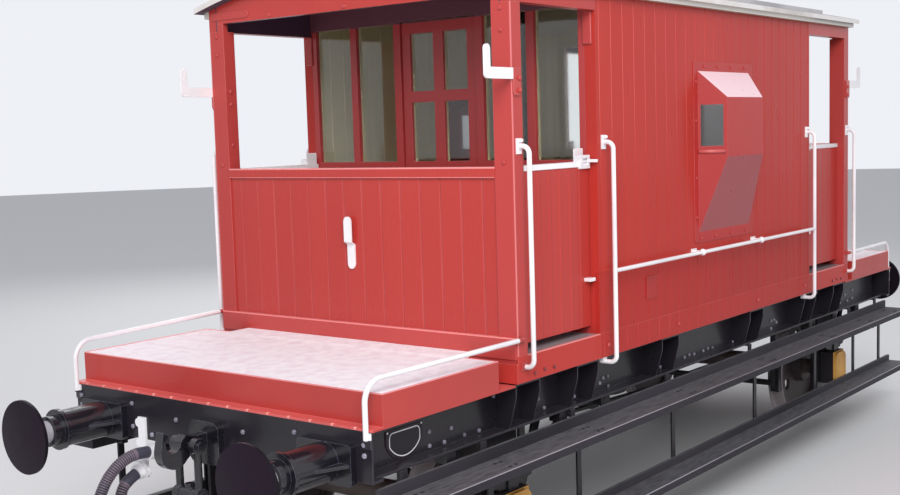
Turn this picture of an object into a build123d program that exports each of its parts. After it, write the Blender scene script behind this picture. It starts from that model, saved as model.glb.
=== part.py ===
from build123d import *
import math
import os

os.makedirs("parts", exist_ok=True)

# Axes: X along the van, Y across it, Z up. End a is at -X and end b at +X, the near side at -Y.
# The floor z = 0 is level with the bottoms of the wheel flanges. Heights are given above the rail.
FLANGE_DEPTH = 28
RAIL = FLANGE_DEPTH

# Running gear
WHEELBASE = 4876.8
TREAD_R = 476.25
BACK_TO_BACK = 1360
TYRE_W = 127
AXLE_Z = RAIL + TREAD_R
AXLE_X = WHEELBASE / 2
JOURNAL_R = 54
FIT_GAP = 0.3
RUN_GAP = 0.5

# Underframe
HEADSTOCK_X = 3657.6
HEADSTOCK_HALF = 1150
FRAME_TOP = RAIL + 1224
CHANNEL_DEPTH = 254
FRAME_BOTTOM = FRAME_TOP - CHANNEL_DEPTH
WEB_T = 10
FLANGE_T = 13
HEADSTOCK_FLANGE = 76
SOLE_WEB_Y = 1010
SOLE_TOE_Y = 1100
CROSS_DEPTH = 200
CROSS_TOE = 76
CROSS_X = (610, 1850, 3030)
LONG_Y = 330
LONG_TOE = 64

# Body
BODY_X = 2480
BODY_Y = 1182
CURB_T = 75
CURB_IN = BODY_Y - CURB_T
CURB_BOTTOM = RAIL + 1244
CURB_TOP = RAIL + 1394
FLOOR_T = 45
FLOOR_TOP = RAIL + 1366
POST_X = 92
POST_Y = 127
CABIN_X = 1622
END_WALL_T = 60
SIDE_WALL_T = 76
LINTEL_T = 40
CANT_BOTTOM = RAIL + 3300
LINTEL_BOTTOM = RAIL + 3350
WAIST_TOP = RAIL + 2426
WAIST_H = 60
SEAM_W = 10
SEAM_D = 5

# Roof
ROOF_R = 4700
ROOF_T = 32
ROOF_CROWN = RAIL + 3622
ROOF_HALF = 1248
ROOF_X = 2550


def channel_profile(back, toe, low, high, web=WEB_T, flange=FLANGE_T):
    """Channel section with its web at back and its two flanges reaching out to toe."""
    step = web if toe > back else -web
    with BuildSketch() as section:
        with BuildLine():
            Polyline((back, low), (toe, low), (toe, low + flange), (back + step, low + flange),
                     (back + step, high - flange), (toe, high - flange), (toe, high), (back, high),
                     close=True)
        make_face()
    return section.sketch


# Solebars: rolled channels with their flanges outward, butted to the headstock flanges
SOLE_X = HEADSTOCK_X - HEADSTOCK_FLANGE
with BuildPart() as solebars:
    with BuildSketch(Plane.YZ.offset(-SOLE_X)):
        for side in (-1, 1):
            add(channel_profile(side * (SOLE_WEB_Y - WEB_T), side * SOLE_TOE_Y, FRAME_BOTTOM, FRAME_TOP))
    extrude(amount=2 * SOLE_X)
solebars.part.label = "solebars"
export_step(solebars.part, "parts/solebars.step")

# Headstocks: channels with the flat web outward
with BuildPart() as headstocks:
    with BuildSketch(Plane.XZ):
        for end in (-1, 1):
            add(channel_profile(end * HEADSTOCK_X, end * SOLE_X, FRAME_BOTTOM, FRAME_TOP))
    extrude(amount=HEADSTOCK_HALF, both=True)
headstocks.part.label = "headstocks"
export_step(headstocks.part, "parts/headstocks.step")

# Cross members between the solebar webs, and short longitudinals between them
SOLE_INNER_Y = SOLE_WEB_Y - WEB_T
CROSS_BOTTOM = FRAME_TOP - CROSS_DEPTH
cross_webs = sorted([x for x in CROSS_X] + [-x for x in CROSS_X])
bay_edges = [-SOLE_X] + [edge for x in cross_webs for edge in (x, x + CROSS_TOE)] + [SOLE_X]
with BuildPart() as cross_members:
    with BuildSketch(Plane.XZ):
        for x in cross_webs:
            add(channel_profile(x, x + CROSS_TOE, CROSS_BOTTOM, FRAME_TOP))
    extrude(amount=SOLE_INNER_Y, both=True)
    for start, stop in zip(bay_edges[0::2], bay_edges[1::2]):
        with BuildSketch(Plane.YZ.offset(start + FIT_GAP)):
            for side in (-1, 1):
                add(channel_profile(side * LONG_Y, side * (LONG_Y + LONG_TOE),
                                    CROSS_BOTTOM + FLANGE_T, FRAME_TOP - FLANGE_T))
        extrude(amount=stop - start - 2 * FIT_GAP)
cross_members.part.label = "cross_members"
export_step(cross_members.part, "parts/cross_members.step")

# Knee brackets on the solebar webs: two triangular wings and a top plate under the body's edge
BRACKET_X = (680, 1720, 2350)
BRACKET_W = 240
BRACKET_PLATE = 8
BRACKET_TOP_Y = CURB_IN + 45
with BuildPart() as body_brackets:
    for side in (-1, 1):
        for x in [sign * place for place in BRACKET_X for sign in (-1, 1)]:
            for wing in (x - BRACKET_W / 2, x + BRACKET_W / 2 - BRACKET_PLATE):
                with BuildSketch(Plane.YZ.offset(wing)):
                    with BuildLine():
                        Polyline((side * SOLE_TOE_Y, FRAME_TOP), (side * BRACKET_TOP_Y, FRAME_TOP),
                                 (side * BRACKET_TOP_Y, FRAME_TOP - 60),
                                 (side * (SOLE_TOE_Y + 6), FRAME_BOTTOM + 20),
                                 (side * SOLE_TOE_Y, FRAME_BOTTOM + 20), close=True)
                    make_face()
                extrude(amount=BRACKET_PLATE)
                with BuildSketch(Plane.YZ.offset(wing)):
                    with BuildLine():
                        Polyline((side * SOLE_WEB_Y, FRAME_TOP - FLANGE_T),
                                 (side * SOLE_TOE_Y, FRAME_TOP - FLANGE_T),
                                 (side * SOLE_TOE_Y, FRAME_BOTTOM + FLANGE_T),
                                 (side * SOLE_WEB_Y, FRAME_BOTTOM + FLANGE_T), close=True)
                    make_face()
                extrude(amount=BRACKET_PLATE)
            with Locations((x, side * (CURB_IN + BRACKET_TOP_Y) / 2, (FRAME_TOP + CURB_BOTTOM) / 2)):
                Box(BRACKET_W, BRACKET_TOP_Y - CURB_IN, CURB_BOTTOM - FRAME_TOP)
body_brackets.part.label = "body_brackets"
export_step(body_brackets.part, "parts/body_brackets.step")

# Axleguards: plates on the inner faces of the solebar webs, with two horns, two wings and a keep
GUARD_T = 19
GUARD_Y = SOLE_INNER_Y - GUARD_T
HORN_HALF = 105
HORN_W = 72
HORN_BOTTOM = RAIL + 330
WING_HALF = 455
GUARD_TOP = FRAME_TOP - 70
with BuildPart() as axleguards:
    for side in (-1, 1):
        plane = Plane.XZ.offset(SOLE_INNER_Y) if side < 0 else Plane.XZ.offset(-GUARD_Y)
        with BuildSketch(plane):
            for end in (-1, 1):
                x = end * AXLE_X
                with Locations((x, (FRAME_BOTTOM + GUARD_TOP) / 2 + 30)):
                    Rectangle(2 * WING_HALF, GUARD_TOP - FRAME_BOTTOM + 60 - 20)
                with Locations((x, RAIL + 870)):
                    Rectangle(2 * (HORN_HALF + HORN_W), 260)
                for hand in (-1, 1):
                    with Locations((x + hand * (HORN_HALF + HORN_W / 2), (HORN_BOTTOM + FRAME_TOP - 100) / 2)):
                        Rectangle(HORN_W, FRAME_TOP - 100 - HORN_BOTTOM)
                    with BuildLine():
                        Polyline((x + hand * (HORN_HALF + HORN_W), RAIL + 400),
                                 (x + hand * (HORN_HALF + HORN_W), RAIL + 475),
                                 (x + hand * (WING_HALF - 80), FRAME_BOTTOM + 30),
                                 (x + hand * WING_HALF, FRAME_BOTTOM + 30), close=True)
                    make_face()
                with Locations((x, HORN_BOTTOM + 16)):
                    Rectangle(2 * (HORN_HALF + HORN_W), 32)
        extrude(amount=-GUARD_T)
axleguards.part.label = "axleguards"
export_step(axleguards.part, "parts/axleguards.step")

# Axleboxes: a body each side of the axleguard, a neck between the horns, a round-topped cover in front
BOX_HALF = 120
BOX_LOW = AXLE_Z - 112
BOX_HIGH = AXLE_Z + 158
BOX_BACK_Y = 915
BOX_FRONT_Y = 1118
BOX_END_WALL = 34
COVER_T = 26
COVER_HALF = 110
COVER_FILLET = 62
NECK_GAP = 3
with BuildPart() as axleboxes:
    for side in (-1, 1):
        for end in (-1, 1):
            x = end * AXLE_X
            for inner, outer, half in ((BOX_BACK_Y, GUARD_Y - NECK_GAP, BOX_HALF),
                                       (GUARD_Y - NECK_GAP, SOLE_INNER_Y + NECK_GAP, HORN_HALF - NECK_GAP),
                                       (SOLE_INNER_Y + NECK_GAP, BOX_FRONT_Y, BOX_HALF)):
                with Locations((x, side * (inner + outer) / 2, (BOX_LOW + BOX_HIGH) / 2)):
                    Box(2 * half, outer - inner, BOX_HIGH - BOX_LOW)
            with BuildSketch(Plane.XZ.offset(-side * BOX_FRONT_Y)):
                with Locations((x, (BOX_LOW + BOX_HIGH) / 2)):
                    RectangleRounded(2 * COVER_HALF, BOX_HIGH - BOX_LOW - 10, COVER_FILLET)
            extrude(amount=-side * COVER_T)
            with BuildSketch(Plane.XZ.offset(-side * BOX_BACK_Y)):
                with Locations((x, AXLE_Z)):
                    Circle(JOURNAL_R + RUN_GAP)
            extrude(amount=-side * (BOX_FRONT_Y - BOX_END_WALL - BOX_BACK_Y), mode=Mode.SUBTRACT)
axleboxes.part.label = "axleboxes"
export_step(axleboxes.part, "parts/axleboxes.step")

# Leaf springs: a stack of arcs, longest at the top, with a buckle on the axlebox and shoes under the solebar
LEAF_T = 13
LEAF_W = 76
LEAF_Y = 1050
LEAF_HALVES = (560, 505, 440, 375, 310, 245, 180, 115)
SPRING_R = 1060
BUCKLE_HALF = 48
BUCKLE_T = 11
SHOE_HALF = 40
spring_base = BOX_HIGH + FIT_GAP + BUCKLE_T
spring_top = spring_base + LEAF_T * len(LEAF_HALVES)
spring_centre = spring_top + SPRING_R


def leaf_point(reach, turn, radius):
    """Point of a leaf at the angle of its end, on the arc of the given radius below the centre."""
    return (radius * math.sin(turn) * reach, spring_centre - radius * math.cos(turn))


leaf_turns = [math.asin(half / SPRING_R) for half in LEAF_HALVES]
with BuildSketch() as leaf_stack:
    with BuildLine():
        ThreePointArc(leaf_point(-1, leaf_turns[0], SPRING_R), (0, spring_top),
                      leaf_point(1, leaf_turns[0], SPRING_R))
        for reach in (-1, 1):
            for index, turn in enumerate(leaf_turns):
                radius = SPRING_R + LEAF_T * index
                Line(leaf_point(reach, turn, radius), leaf_point(reach, turn, radius + LEAF_T))
                if index + 1 < len(leaf_turns):
                    inner = leaf_turns[index + 1]
                    ThreePointArc(leaf_point(reach, turn, radius + LEAF_T),
                                  leaf_point(reach, (turn + inner) / 2, radius + LEAF_T),
                                  leaf_point(reach, inner, radius + LEAF_T))
        lowest = SPRING_R + LEAF_T * len(leaf_turns)
        ThreePointArc(leaf_point(-1, leaf_turns[-1], lowest), (0, spring_base),
                      leaf_point(1, leaf_turns[-1], lowest))
    make_face()
shoe_low = spring_centre - SPRING_R * math.cos(leaf_turns[0]) + FIT_GAP
with BuildPart() as leaf_springs:
    for side in (-1, 1):
        for end in (-1, 1):
            x = end * AXLE_X
            with BuildSketch(Plane.XZ.offset(-side * LEAF_Y)):
                with Locations((x, 0)):
                    add(leaf_stack.sketch)
            extrude(amount=LEAF_W / 2, both=True)
            with Locations((x, side * LEAF_Y, (spring_base + spring_top) / 2)):
                Box(2 * BUCKLE_HALF, LEAF_W + 2 * BUCKLE_T, spring_top - spring_base + 2 * BUCKLE_T)
            for hand in (-1, 1):
                shoe_x = x + hand * (LEAF_HALVES[0] - SHOE_HALF / 2)
                with Locations((shoe_x, side * LEAF_Y, (shoe_low + FRAME_BOTTOM) / 2)):
                    Box(2 * SHOE_HALF, LEAF_W, FRAME_BOTTOM - shoe_low)
leaf_springs.part.label = "leaf_springs"
export_step(leaf_springs.part, "parts/leaf_springs.step")

# Wheelsets: solid disc wheels with three holes, pressed on an axle with stepped journals
WHEEL_BACK_Y = BACK_TO_BACK / 2
WHEEL_SEAT_R = 78
HUB_R = 130
RIM_R = 415
WEB_HOLES = 3
WEB_HOLE_R = 52
WEB_HOLE_PITCH_R = 265
AXLE_BODY_R = 72
COLLAR_R = 62
JOURNAL_END_Y = 1078
flange_r = TREAD_R + FLANGE_DEPTH
wheel_front = WHEEL_BACK_Y + TYRE_W
with BuildSketch() as wheel_half:
    with BuildLine():
        Polyline((WHEEL_BACK_Y + 4, WHEEL_SEAT_R), (WHEEL_BACK_Y + 4, HUB_R), (WHEEL_BACK_Y + 44, HUB_R + 14),
                 (WHEEL_BACK_Y + 38, RIM_R - 34), (WHEEL_BACK_Y + 16, RIM_R - 22),
                 (WHEEL_BACK_Y + 16, RIM_R), (WHEEL_BACK_Y, RIM_R + 4), (WHEEL_BACK_Y, TREAD_R + 2),
                 (WHEEL_BACK_Y + 9, flange_r - 4), (WHEEL_BACK_Y + 16, flange_r),
                 (WHEEL_BACK_Y + 25, flange_r - 6), (WHEEL_BACK_Y + 34, TREAD_R + 6),
                 (WHEEL_BACK_Y + 46, TREAD_R + 1), (wheel_front - 6, TREAD_R - 3), (wheel_front, TREAD_R - 8),
                 (wheel_front, RIM_R + 4), (wheel_front - 14, RIM_R), (wheel_front - 14, RIM_R - 22),
                 (WHEEL_BACK_Y + 66, RIM_R - 34), (WHEEL_BACK_Y + 74, HUB_R + 14),
                 (WHEEL_BACK_Y + 150, HUB_R), (WHEEL_BACK_Y + 150, WHEEL_SEAT_R), close=True)
    make_face()
seat_out = WHEEL_BACK_Y + 152
with BuildSketch() as axle_half:
    with BuildLine():
        Polyline((0, 0), (0, AXLE_BODY_R), (WHEEL_BACK_Y - 30, AXLE_BODY_R + 4),
                 (WHEEL_BACK_Y - 8, WHEEL_SEAT_R - FIT_GAP), (seat_out, WHEEL_SEAT_R - FIT_GAP),
                 (seat_out, COLLAR_R), (BOX_BACK_Y - 8, COLLAR_R), (BOX_BACK_Y - 8, JOURNAL_R),
                 (JOURNAL_END_Y, JOURNAL_R), (JOURNAL_END_Y, 0), close=True)
    make_face()
for end, letter in ((-1, "a"), (1, "b")):
    centre = Plane(origin=(end * AXLE_X, 0, AXLE_Z), x_dir=(0, 1, 0), z_dir=(1, 0, 0))
    with BuildPart() as wheelset:
        with BuildSketch(centre):
            add(wheel_half.sketch)
        revolve(axis=Axis((end * AXLE_X, 0, AXLE_Z), (0, 1, 0)))
        with BuildSketch(Plane.XZ.offset(-WHEEL_BACK_Y)):
            with Locations((end * AXLE_X, AXLE_Z)):
                with PolarLocations(WEB_HOLE_PITCH_R, WEB_HOLES, start_angle=90):
                    Circle(WEB_HOLE_R)
        extrude(amount=-TYRE_W, mode=Mode.SUBTRACT)
        mirror(about=Plane.XZ)
        with BuildSketch(centre):
            add(axle_half.sketch)
            mirror(axle_half.sketch, about=Plane.YZ)
        revolve(axis=Axis((end * AXLE_X, 0, AXLE_Z), (0, 1, 0)))
    wheelset.part.label = "wheelset_" + letter
    export_step(wheelset.part, "parts/wheelset_" + letter + ".step")

# Buffers: a square base, a stepped ribbed housing with a fin each side, a shank and a domed head
BUFFER_Y = 870
BUFFER_Z = RAIL + 1054
BUFFER_REACH = 560
BUFFER_BASE = (360, 205, 42)
HOUSING_R = 102
HOUSING_LEN = 300
SLEEVE_R = 84
SLEEVE_LEN = 60
RIB_R = 114
RIB_LEN = 22
SHANK_R = 62
HEAD_R = 203
HEAD_T = 34
HEAD_CROWN = 12
head_back = BUFFER_REACH - HEAD_T
crown_r = (HEAD_R ** 2 + HEAD_CROWN ** 2) / (2 * HEAD_CROWN)
crown_mid = BUFFER_REACH - crown_r + math.sqrt(crown_r ** 2 - (HEAD_R / 2) ** 2)
with BuildPart() as buffer_housings:
    for end in (-1, 1):
        for side in (-1, 1):
            face = Plane(origin=(end * HEADSTOCK_X, side * BUFFER_Y, BUFFER_Z), x_dir=(0, 1, 0), z_dir=(end, 0, 0))
            with BuildSketch(face):
                RectangleRounded(BUFFER_BASE[0], BUFFER_BASE[1], 22)
            extrude(amount=BUFFER_BASE[2])
            for start, length, radius in ((BUFFER_BASE[2], HOUSING_LEN, HOUSING_R),
                                          (BUFFER_BASE[2] + HOUSING_LEN, SLEEVE_LEN, SLEEVE_R),
                                          (BUFFER_BASE[2] + HOUSING_LEN - RIB_LEN, RIB_LEN, RIB_R)):
                with BuildSketch(face.offset(start)):
                    Circle(radius)
                extrude(amount=length)
            with BuildSketch(Plane(face.origin, x_dir=(end, 0, 0), z_dir=(0, 0, 1))):
                with BuildLine():
                    Polyline((BUFFER_BASE[2], -BUFFER_BASE[0] / 2 + 12), (BUFFER_BASE[2], BUFFER_BASE[0] / 2 - 12),
                             (BUFFER_BASE[2] + 170, HOUSING_R - 4), (BUFFER_BASE[2] + 170, 4 - HOUSING_R),
                             close=True)
                make_face()
            extrude(amount=8, both=True)
            with BuildSketch(face.offset(BUFFER_BASE[2])):
                Circle(SHANK_R + RUN_GAP)
            extrude(amount=HOUSING_LEN + SLEEVE_LEN, mode=Mode.SUBTRACT)
buffer_housings.part.label = "buffer_housings"
export_step(buffer_housings.part, "parts/buffer_housings.step")

with BuildPart() as buffer_heads:
    for end in (-1, 1):
        for side in (-1, 1):
            middle = Plane(origin=(end * HEADSTOCK_X, side * BUFFER_Y, BUFFER_Z), x_dir=(end, 0, 0),
                           z_dir=(0, -end, 0))
            with BuildSketch(middle):
                with BuildLine():
                    Line((BUFFER_BASE[2] + FIT_GAP, 0), (BUFFER_BASE[2] + FIT_GAP, SHANK_R))
                    Line((BUFFER_BASE[2] + FIT_GAP, SHANK_R), (head_back - 40, SHANK_R))
                    Line((head_back - 40, SHANK_R), (head_back, HEAD_R * 0.55))
                    Line((head_back, HEAD_R * 0.55), (head_back + 4, HEAD_R))
                    Line((head_back + 4, HEAD_R), (BUFFER_REACH - HEAD_CROWN, HEAD_R))
                    ThreePointArc((BUFFER_REACH - HEAD_CROWN, HEAD_R),
                                  (crown_mid, HEAD_R / 2), (BUFFER_REACH, 0))
                    Line((BUFFER_REACH, 0), (BUFFER_BASE[2] + FIT_GAP, 0))
                make_face()
            revolve(axis=Axis((end * HEADSTOCK_X, side * BUFFER_Y, BUFFER_Z), (1, 0, 0)))
buffer_heads.part.label = "buffer_heads"
export_step(buffer_heads.part, "parts/buffer_heads.step")

# Draw hooks: a raised plate, a shank through it, an eye for the shackle pin and the hook itself
DRAW_PLATE = 230
DRAW_PLATE_T = 42
HOOK_T = 56
HOOK_REACH = 346
HOOK_EYE_X = 150
HOOK_EYE_R = 24
HOOK_Z = BUFFER_Z
SHANK_HALF = 34
with BuildPart() as draw_hooks:
    for end in (-1, 1):
        face = Plane(origin=(end * HEADSTOCK_X, 0, HOOK_Z - 22), x_dir=(0, 1, 0), z_dir=(end, 0, 0))
        with BuildSketch(face):
            RectangleRounded(DRAW_PLATE, DRAW_PLATE, 48)
        extrude(amount=DRAW_PLATE_T)
        side_on = Plane(origin=(end * HEADSTOCK_X, 0, HOOK_Z), x_dir=(end, 0, 0), z_dir=(0, -end, 0))
        with BuildSketch(side_on):
            with BuildLine():
                Polyline((DRAW_PLATE_T, -SHANK_HALF), (HOOK_EYE_X - 40, -SHANK_HALF),
                         (HOOK_EYE_X, -SHANK_HALF - 24), (HOOK_EYE_X + 30, -SHANK_HALF - 44))
                ThreePointArc((HOOK_EYE_X + 30, -SHANK_HALF - 44), (HOOK_REACH - 40, -96), (HOOK_REACH, -10))
                Line((HOOK_REACH, -10), (HOOK_REACH - 22, 92))
                Line((HOOK_REACH - 22, 92), (HOOK_REACH - 58, 66))
                ThreePointArc((HOOK_REACH - 58, 66), (HOOK_REACH - 92, -24), (HOOK_EYE_X + 66, 22))
                Polyline((HOOK_EYE_X + 66, 22), (HOOK_EYE_X + 34, 52), (HOOK_EYE_X - 40, SHANK_HALF),
                         (DRAW_PLATE_T, SHANK_HALF), (DRAW_PLATE_T, -SHANK_HALF))
            make_face()
            with Locations((HOOK_EYE_X, -8)):
                Circle(HOOK_EYE_R, mode=Mode.SUBTRACT)
        extrude(amount=HOOK_T / 2, both=True)
draw_hooks.part.label = "draw_hooks"
export_step(draw_hooks.part, "parts/draw_hooks.step")

# Screw couplings: a shackle pinned in the hook's eye, a trunnion nut each end of the screw, a bow below
ARM_Y = 75
ARM_R = 21
SHACKLE_DROP = 265
SCREW_LEN = 150
BOW_DROP = 250
PIN_R = HOOK_EYE_R - RUN_GAP
NUT_R = 40
SCREW_R = 24
LEVER_LEN = 190
LEVER_R = 12
with BuildPart() as screw_couplings:
    for end in (-1, 1):
        eye_x = end * (HEADSTOCK_X + HOOK_EYE_X)
        eye_z = HOOK_Z - 8
        upper_z = eye_z - SHACKLE_DROP
        lower_z = upper_z - SCREW_LEN
        bow_z = lower_z - BOW_DROP
        with BuildSketch(Plane.XZ):
            with Locations((eye_x, eye_z)):
                Circle(PIN_R)
        extrude(amount=ARM_Y + ARM_R + 14, both=True)
        for z in (upper_z, lower_z):
            with BuildSketch(Plane.XZ):
                with Locations((eye_x, z)):
                    Circle(NUT_R)
            extrude(amount=ARM_Y - ARM_R - 4, both=True)
            with BuildSketch(Plane.XZ):
                with Locations((eye_x, z)):
                    Circle(SCREW_R)
            extrude(amount=ARM_Y + ARM_R + 10, both=True)
        with BuildSketch(Plane.XY.offset(lower_z - NUT_R - 20)):
            with Locations((eye_x, 0)):
                Circle(SCREW_R)
        extrude(amount=upper_z - lower_z + 2 * NUT_R + 40)
        for side in (-1, 1):
            with BuildSketch(Plane.XY.offset(upper_z)):
                with Locations((eye_x, side * ARM_Y)):
                    Circle(ARM_R)
            extrude(amount=SHACKLE_DROP)
            with BuildSketch(Plane.XY.offset(bow_z)):
                with Locations((eye_x, side * ARM_Y)):
                    Circle(ARM_R)
            extrude(amount=BOW_DROP)
            for z in (eye_z, upper_z, lower_z):
                with BuildSketch(Plane.XZ.offset(-side * (ARM_Y - ARM_R))):
                    with Locations((eye_x, z)):
                        Circle(2 * ARM_R)
                extrude(amount=-side * 2 * ARM_R)
        with BuildSketch(Plane(origin=(eye_x, ARM_Y, bow_z), x_dir=(1, 0, 0), z_dir=(0, 0, 1))):
            Circle(ARM_R)
        revolve(axis=Axis((eye_x, 0, bow_z), (1, 0, 0)), revolution_arc=-180)
        with BuildSketch(Plane.YZ.offset(eye_x)):
            with Locations((0, (upper_z + lower_z) / 2)):
                Circle(LEVER_R)
        extrude(amount=end * LEVER_LEN)
        with Locations((eye_x + end * LEVER_LEN, 0, (upper_z + lower_z) / 2)):
            Sphere(2 * LEVER_R)
screw_couplings.part.label = "screw_couplings"
export_step(screw_couplings.part, "parts/screw_couplings.step")

# Footboards: two treads a side, each with an upright board at its back
TREAD_OUT_Y = 1345
TREAD_T = 44
BOARD_T = 22
BOARD_X = 3600
UPPER_TREAD = (RAIL + 866, 1112, 62)
LOWER_TREAD = (RAIL + 366, 1150, 50)
for label, (top, inner, upstand) in (("upper_footboards", UPPER_TREAD), ("lower_footboards", LOWER_TREAD)):
    with BuildPart() as footboards:
        with BuildSketch(Plane.YZ.offset(-BOARD_X)):
            for side in (-1, 1):
                with BuildLine():
                    Polyline((side * inner, top - TREAD_T), (side * TREAD_OUT_Y, top - TREAD_T),
                             (side * TREAD_OUT_Y, top), (side * (inner + BOARD_T), top),
                             (side * (inner + BOARD_T), top + upstand), (side * inner, top + upstand), close=True)
                make_face()
        extrude(amount=2 * BOARD_X)
    footboards.part.label = label
    export_step(footboards.part, "parts/" + label + ".step")

# Footboard hangers: flat bars from the solebar flange, with a foot under each tread
HANGER_X = (650, 1832, 2720, 3380)
HANGER_W = 44
HANGER_T = 12
with BuildPart() as footboard_hangers:
    for x in [sign * place for place in HANGER_X for sign in (-1, 1)]:
        with BuildSketch(Plane.YZ.offset(x - HANGER_W / 2)):
            for side in (-1, 1):
                upper_in = UPPER_TREAD[1]
                lower_in = LOWER_TREAD[1]
                upper_under = UPPER_TREAD[0] - TREAD_T
                lower_under = LOWER_TREAD[0] - TREAD_T
                with BuildLine():
                    Polyline((side * (SOLE_TOE_Y - 70), FRAME_BOTTOM), (side * upper_in, FRAME_BOTTOM),
                             (side * upper_in, upper_under), (side * (TREAD_OUT_Y - 20), upper_under),
                             (side * (TREAD_OUT_Y - 20), upper_under - HANGER_T),
                             (side * lower_in, upper_under - HANGER_T), (side * lower_in, lower_under),
                             (side * (TREAD_OUT_Y - 20), lower_under),
                             (side * (TREAD_OUT_Y - 20), lower_under - HANGER_T),
                             (side * (lower_in - HANGER_T), lower_under - HANGER_T),
                             (side * (lower_in - HANGER_T), upper_under - HANGER_T),
                             (side * (upper_in - HANGER_T), upper_under - HANGER_T),
                             (side * (upper_in - HANGER_T), FRAME_BOTTOM - HANGER_T),
                             (side * (SOLE_TOE_Y - 70), FRAME_BOTTOM - HANGER_T), close=True)
                make_face()
        extrude(amount=HANGER_W)
footboard_hangers.part.label = "footboard_hangers"
export_step(footboard_hangers.part, "parts/footboard_hangers.step")

# Ballast trays: a ledge plate over the frame end and four upright plates round the weight
TRAY_FRONT_X = 3585
TRAY_BACK_X = 2640
TRAY_HALF = 1162
TRAY_TOP = RAIL + 1397
TRAY_T = 8
LEDGE_T = 12
LEDGE_BACK_X = BODY_X + 4
with BuildPart() as ballast_trays:
    for end in (-1, 1):
        with Locations((end * (HEADSTOCK_X + LEDGE_BACK_X) / 2, 0, FRAME_TOP + LEDGE_T / 2)):
            Box(HEADSTOCK_X - LEDGE_BACK_X, 2 * TRAY_HALF, LEDGE_T)
        with BuildSketch(Plane.XY.offset(FRAME_TOP + LEDGE_T)):
            with Locations((end * (TRAY_FRONT_X + TRAY_BACK_X) / 2, 0)):
                Rectangle(TRAY_FRONT_X - TRAY_BACK_X, 2 * TRAY_HALF)
                Rectangle(TRAY_FRONT_X - TRAY_BACK_X - 2 * TRAY_T, 2 * TRAY_HALF - 2 * TRAY_T, mode=Mode.SUBTRACT)
        extrude(amount=TRAY_TOP - FRAME_TOP - LEDGE_T)
ballast_trays.part.label = "ballast_trays"
export_step(ballast_trays.part, "parts/ballast_trays.step")

# Ballast weights: one cast block in each tray, its face flush with the rim
WEIGHT_SINK = 3
with BuildPart() as ballast_weights:
    for end in (-1, 1):
        with Locations((end * (TRAY_FRONT_X + TRAY_BACK_X) / 2, 0,
                        (FRAME_TOP + LEDGE_T + TRAY_TOP - WEIGHT_SINK) / 2)):
            Box(TRAY_FRONT_X - TRAY_BACK_X - 2 * TRAY_T, 2 * (TRAY_HALF - TRAY_T),
                TRAY_TOP - WEIGHT_SINK - FRAME_TOP - LEDGE_T)
ballast_weights.part.label = "ballast_weights"
export_step(ballast_weights.part, "parts/ballast_weights.step")

def seam_profile(places, face, inward):
    """V joints between boards: a row of small triangles that open at the face."""
    with BuildSketch() as joints:
        for place in places:
            with BuildLine():
                Polyline((place - SEAM_W / 2, face), (place + SEAM_W / 2, face), (place, face + inward * SEAM_D),
                         close=True)
            make_face()
    return joints.sketch


# Bottom frame: curb rails with the side boards' joints cut in them, end sills and bearers on the solebars
BEARER_X = (0, 560, 1120, 1680, 2240)
BEARER_W = 75
SILL_T = 35
SILL_TOP = RAIL + 1353
SILL_OUT = 12
SIDE_PITCH = 137.4
side_seams = [(index + 0.5) * SIDE_PITCH for index in range(-12, 12)]
with BuildPart() as bottom_frame:
    for side in (-1, 1):
        with Locations((0, side * (BODY_Y - CURB_T / 2), (CURB_BOTTOM + CURB_TOP) / 2)):
            Box(2 * BODY_X, CURB_T, CURB_TOP - CURB_BOTTOM)
    with BuildSketch(Plane.XY.offset(CURB_BOTTOM)):
        for side in (-1, 1):
            add(seam_profile(side_seams, side * BODY_Y, -side))
    extrude(amount=CURB_TOP - CURB_BOTTOM, mode=Mode.SUBTRACT)
    for end in (-1, 1):
        with Locations((end * (BODY_X + SILL_OUT / 2), 0, (CURB_BOTTOM + SILL_TOP) / 2)):
            Box(SILL_OUT, 2 * BODY_Y, SILL_TOP - CURB_BOTTOM)
        with Locations((end * (BODY_X - SILL_T / 2), 0, (CURB_BOTTOM + SILL_TOP) / 2)):
            Box(SILL_T, 2 * CURB_IN, SILL_TOP - CURB_BOTTOM)
        for x in BEARER_X:
            with Locations((end * x, 0, (FRAME_TOP + FLOOR_TOP - FLOOR_T) / 2)):
                Box(BEARER_W, 2 * CURB_IN, FLOOR_TOP - FLOOR_T - FRAME_TOP)
bottom_frame.part.label = "bottom_frame"
export_step(bottom_frame.part, "parts/bottom_frame.step")

# Floor: boards across the whole body, between the curb rails
FLOOR_PITCH = 155
FLOOR_SEAM = 4
BRAKE_COLUMN_X = -790
BRAKE_ROD_R = 18
floor_half = BODY_X - SILL_T
with BuildPart() as floor_boards:
    with Locations((0, 0, FLOOR_TOP - FLOOR_T / 2)):
        Box(2 * floor_half, 2 * CURB_IN, FLOOR_T)
    with BuildSketch(Plane.XY.offset(FLOOR_TOP)):
        for index in range(-int(floor_half / FLOOR_PITCH), int(floor_half / FLOOR_PITCH) + 1):
            with Locations((index * FLOOR_PITCH, 0)):
                Rectangle(FLOOR_SEAM, 2 * CURB_IN)
    extrude(amount=-FLOOR_SEAM, mode=Mode.SUBTRACT)
    with Locations((BRAKE_COLUMN_X, 0, FLOOR_TOP)):
        Hole(BRAKE_ROD_R + 2)
floor_boards.part.label = "floor_boards"
export_step(floor_boards.part, "parts/floor_boards.step")

# Roof underside: every wall and rail below it is cut to this arc
UNDER_R = ROOF_R - ROOF_T
ROOF_CENTRE = ROOF_CROWN - ROOF_R


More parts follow.
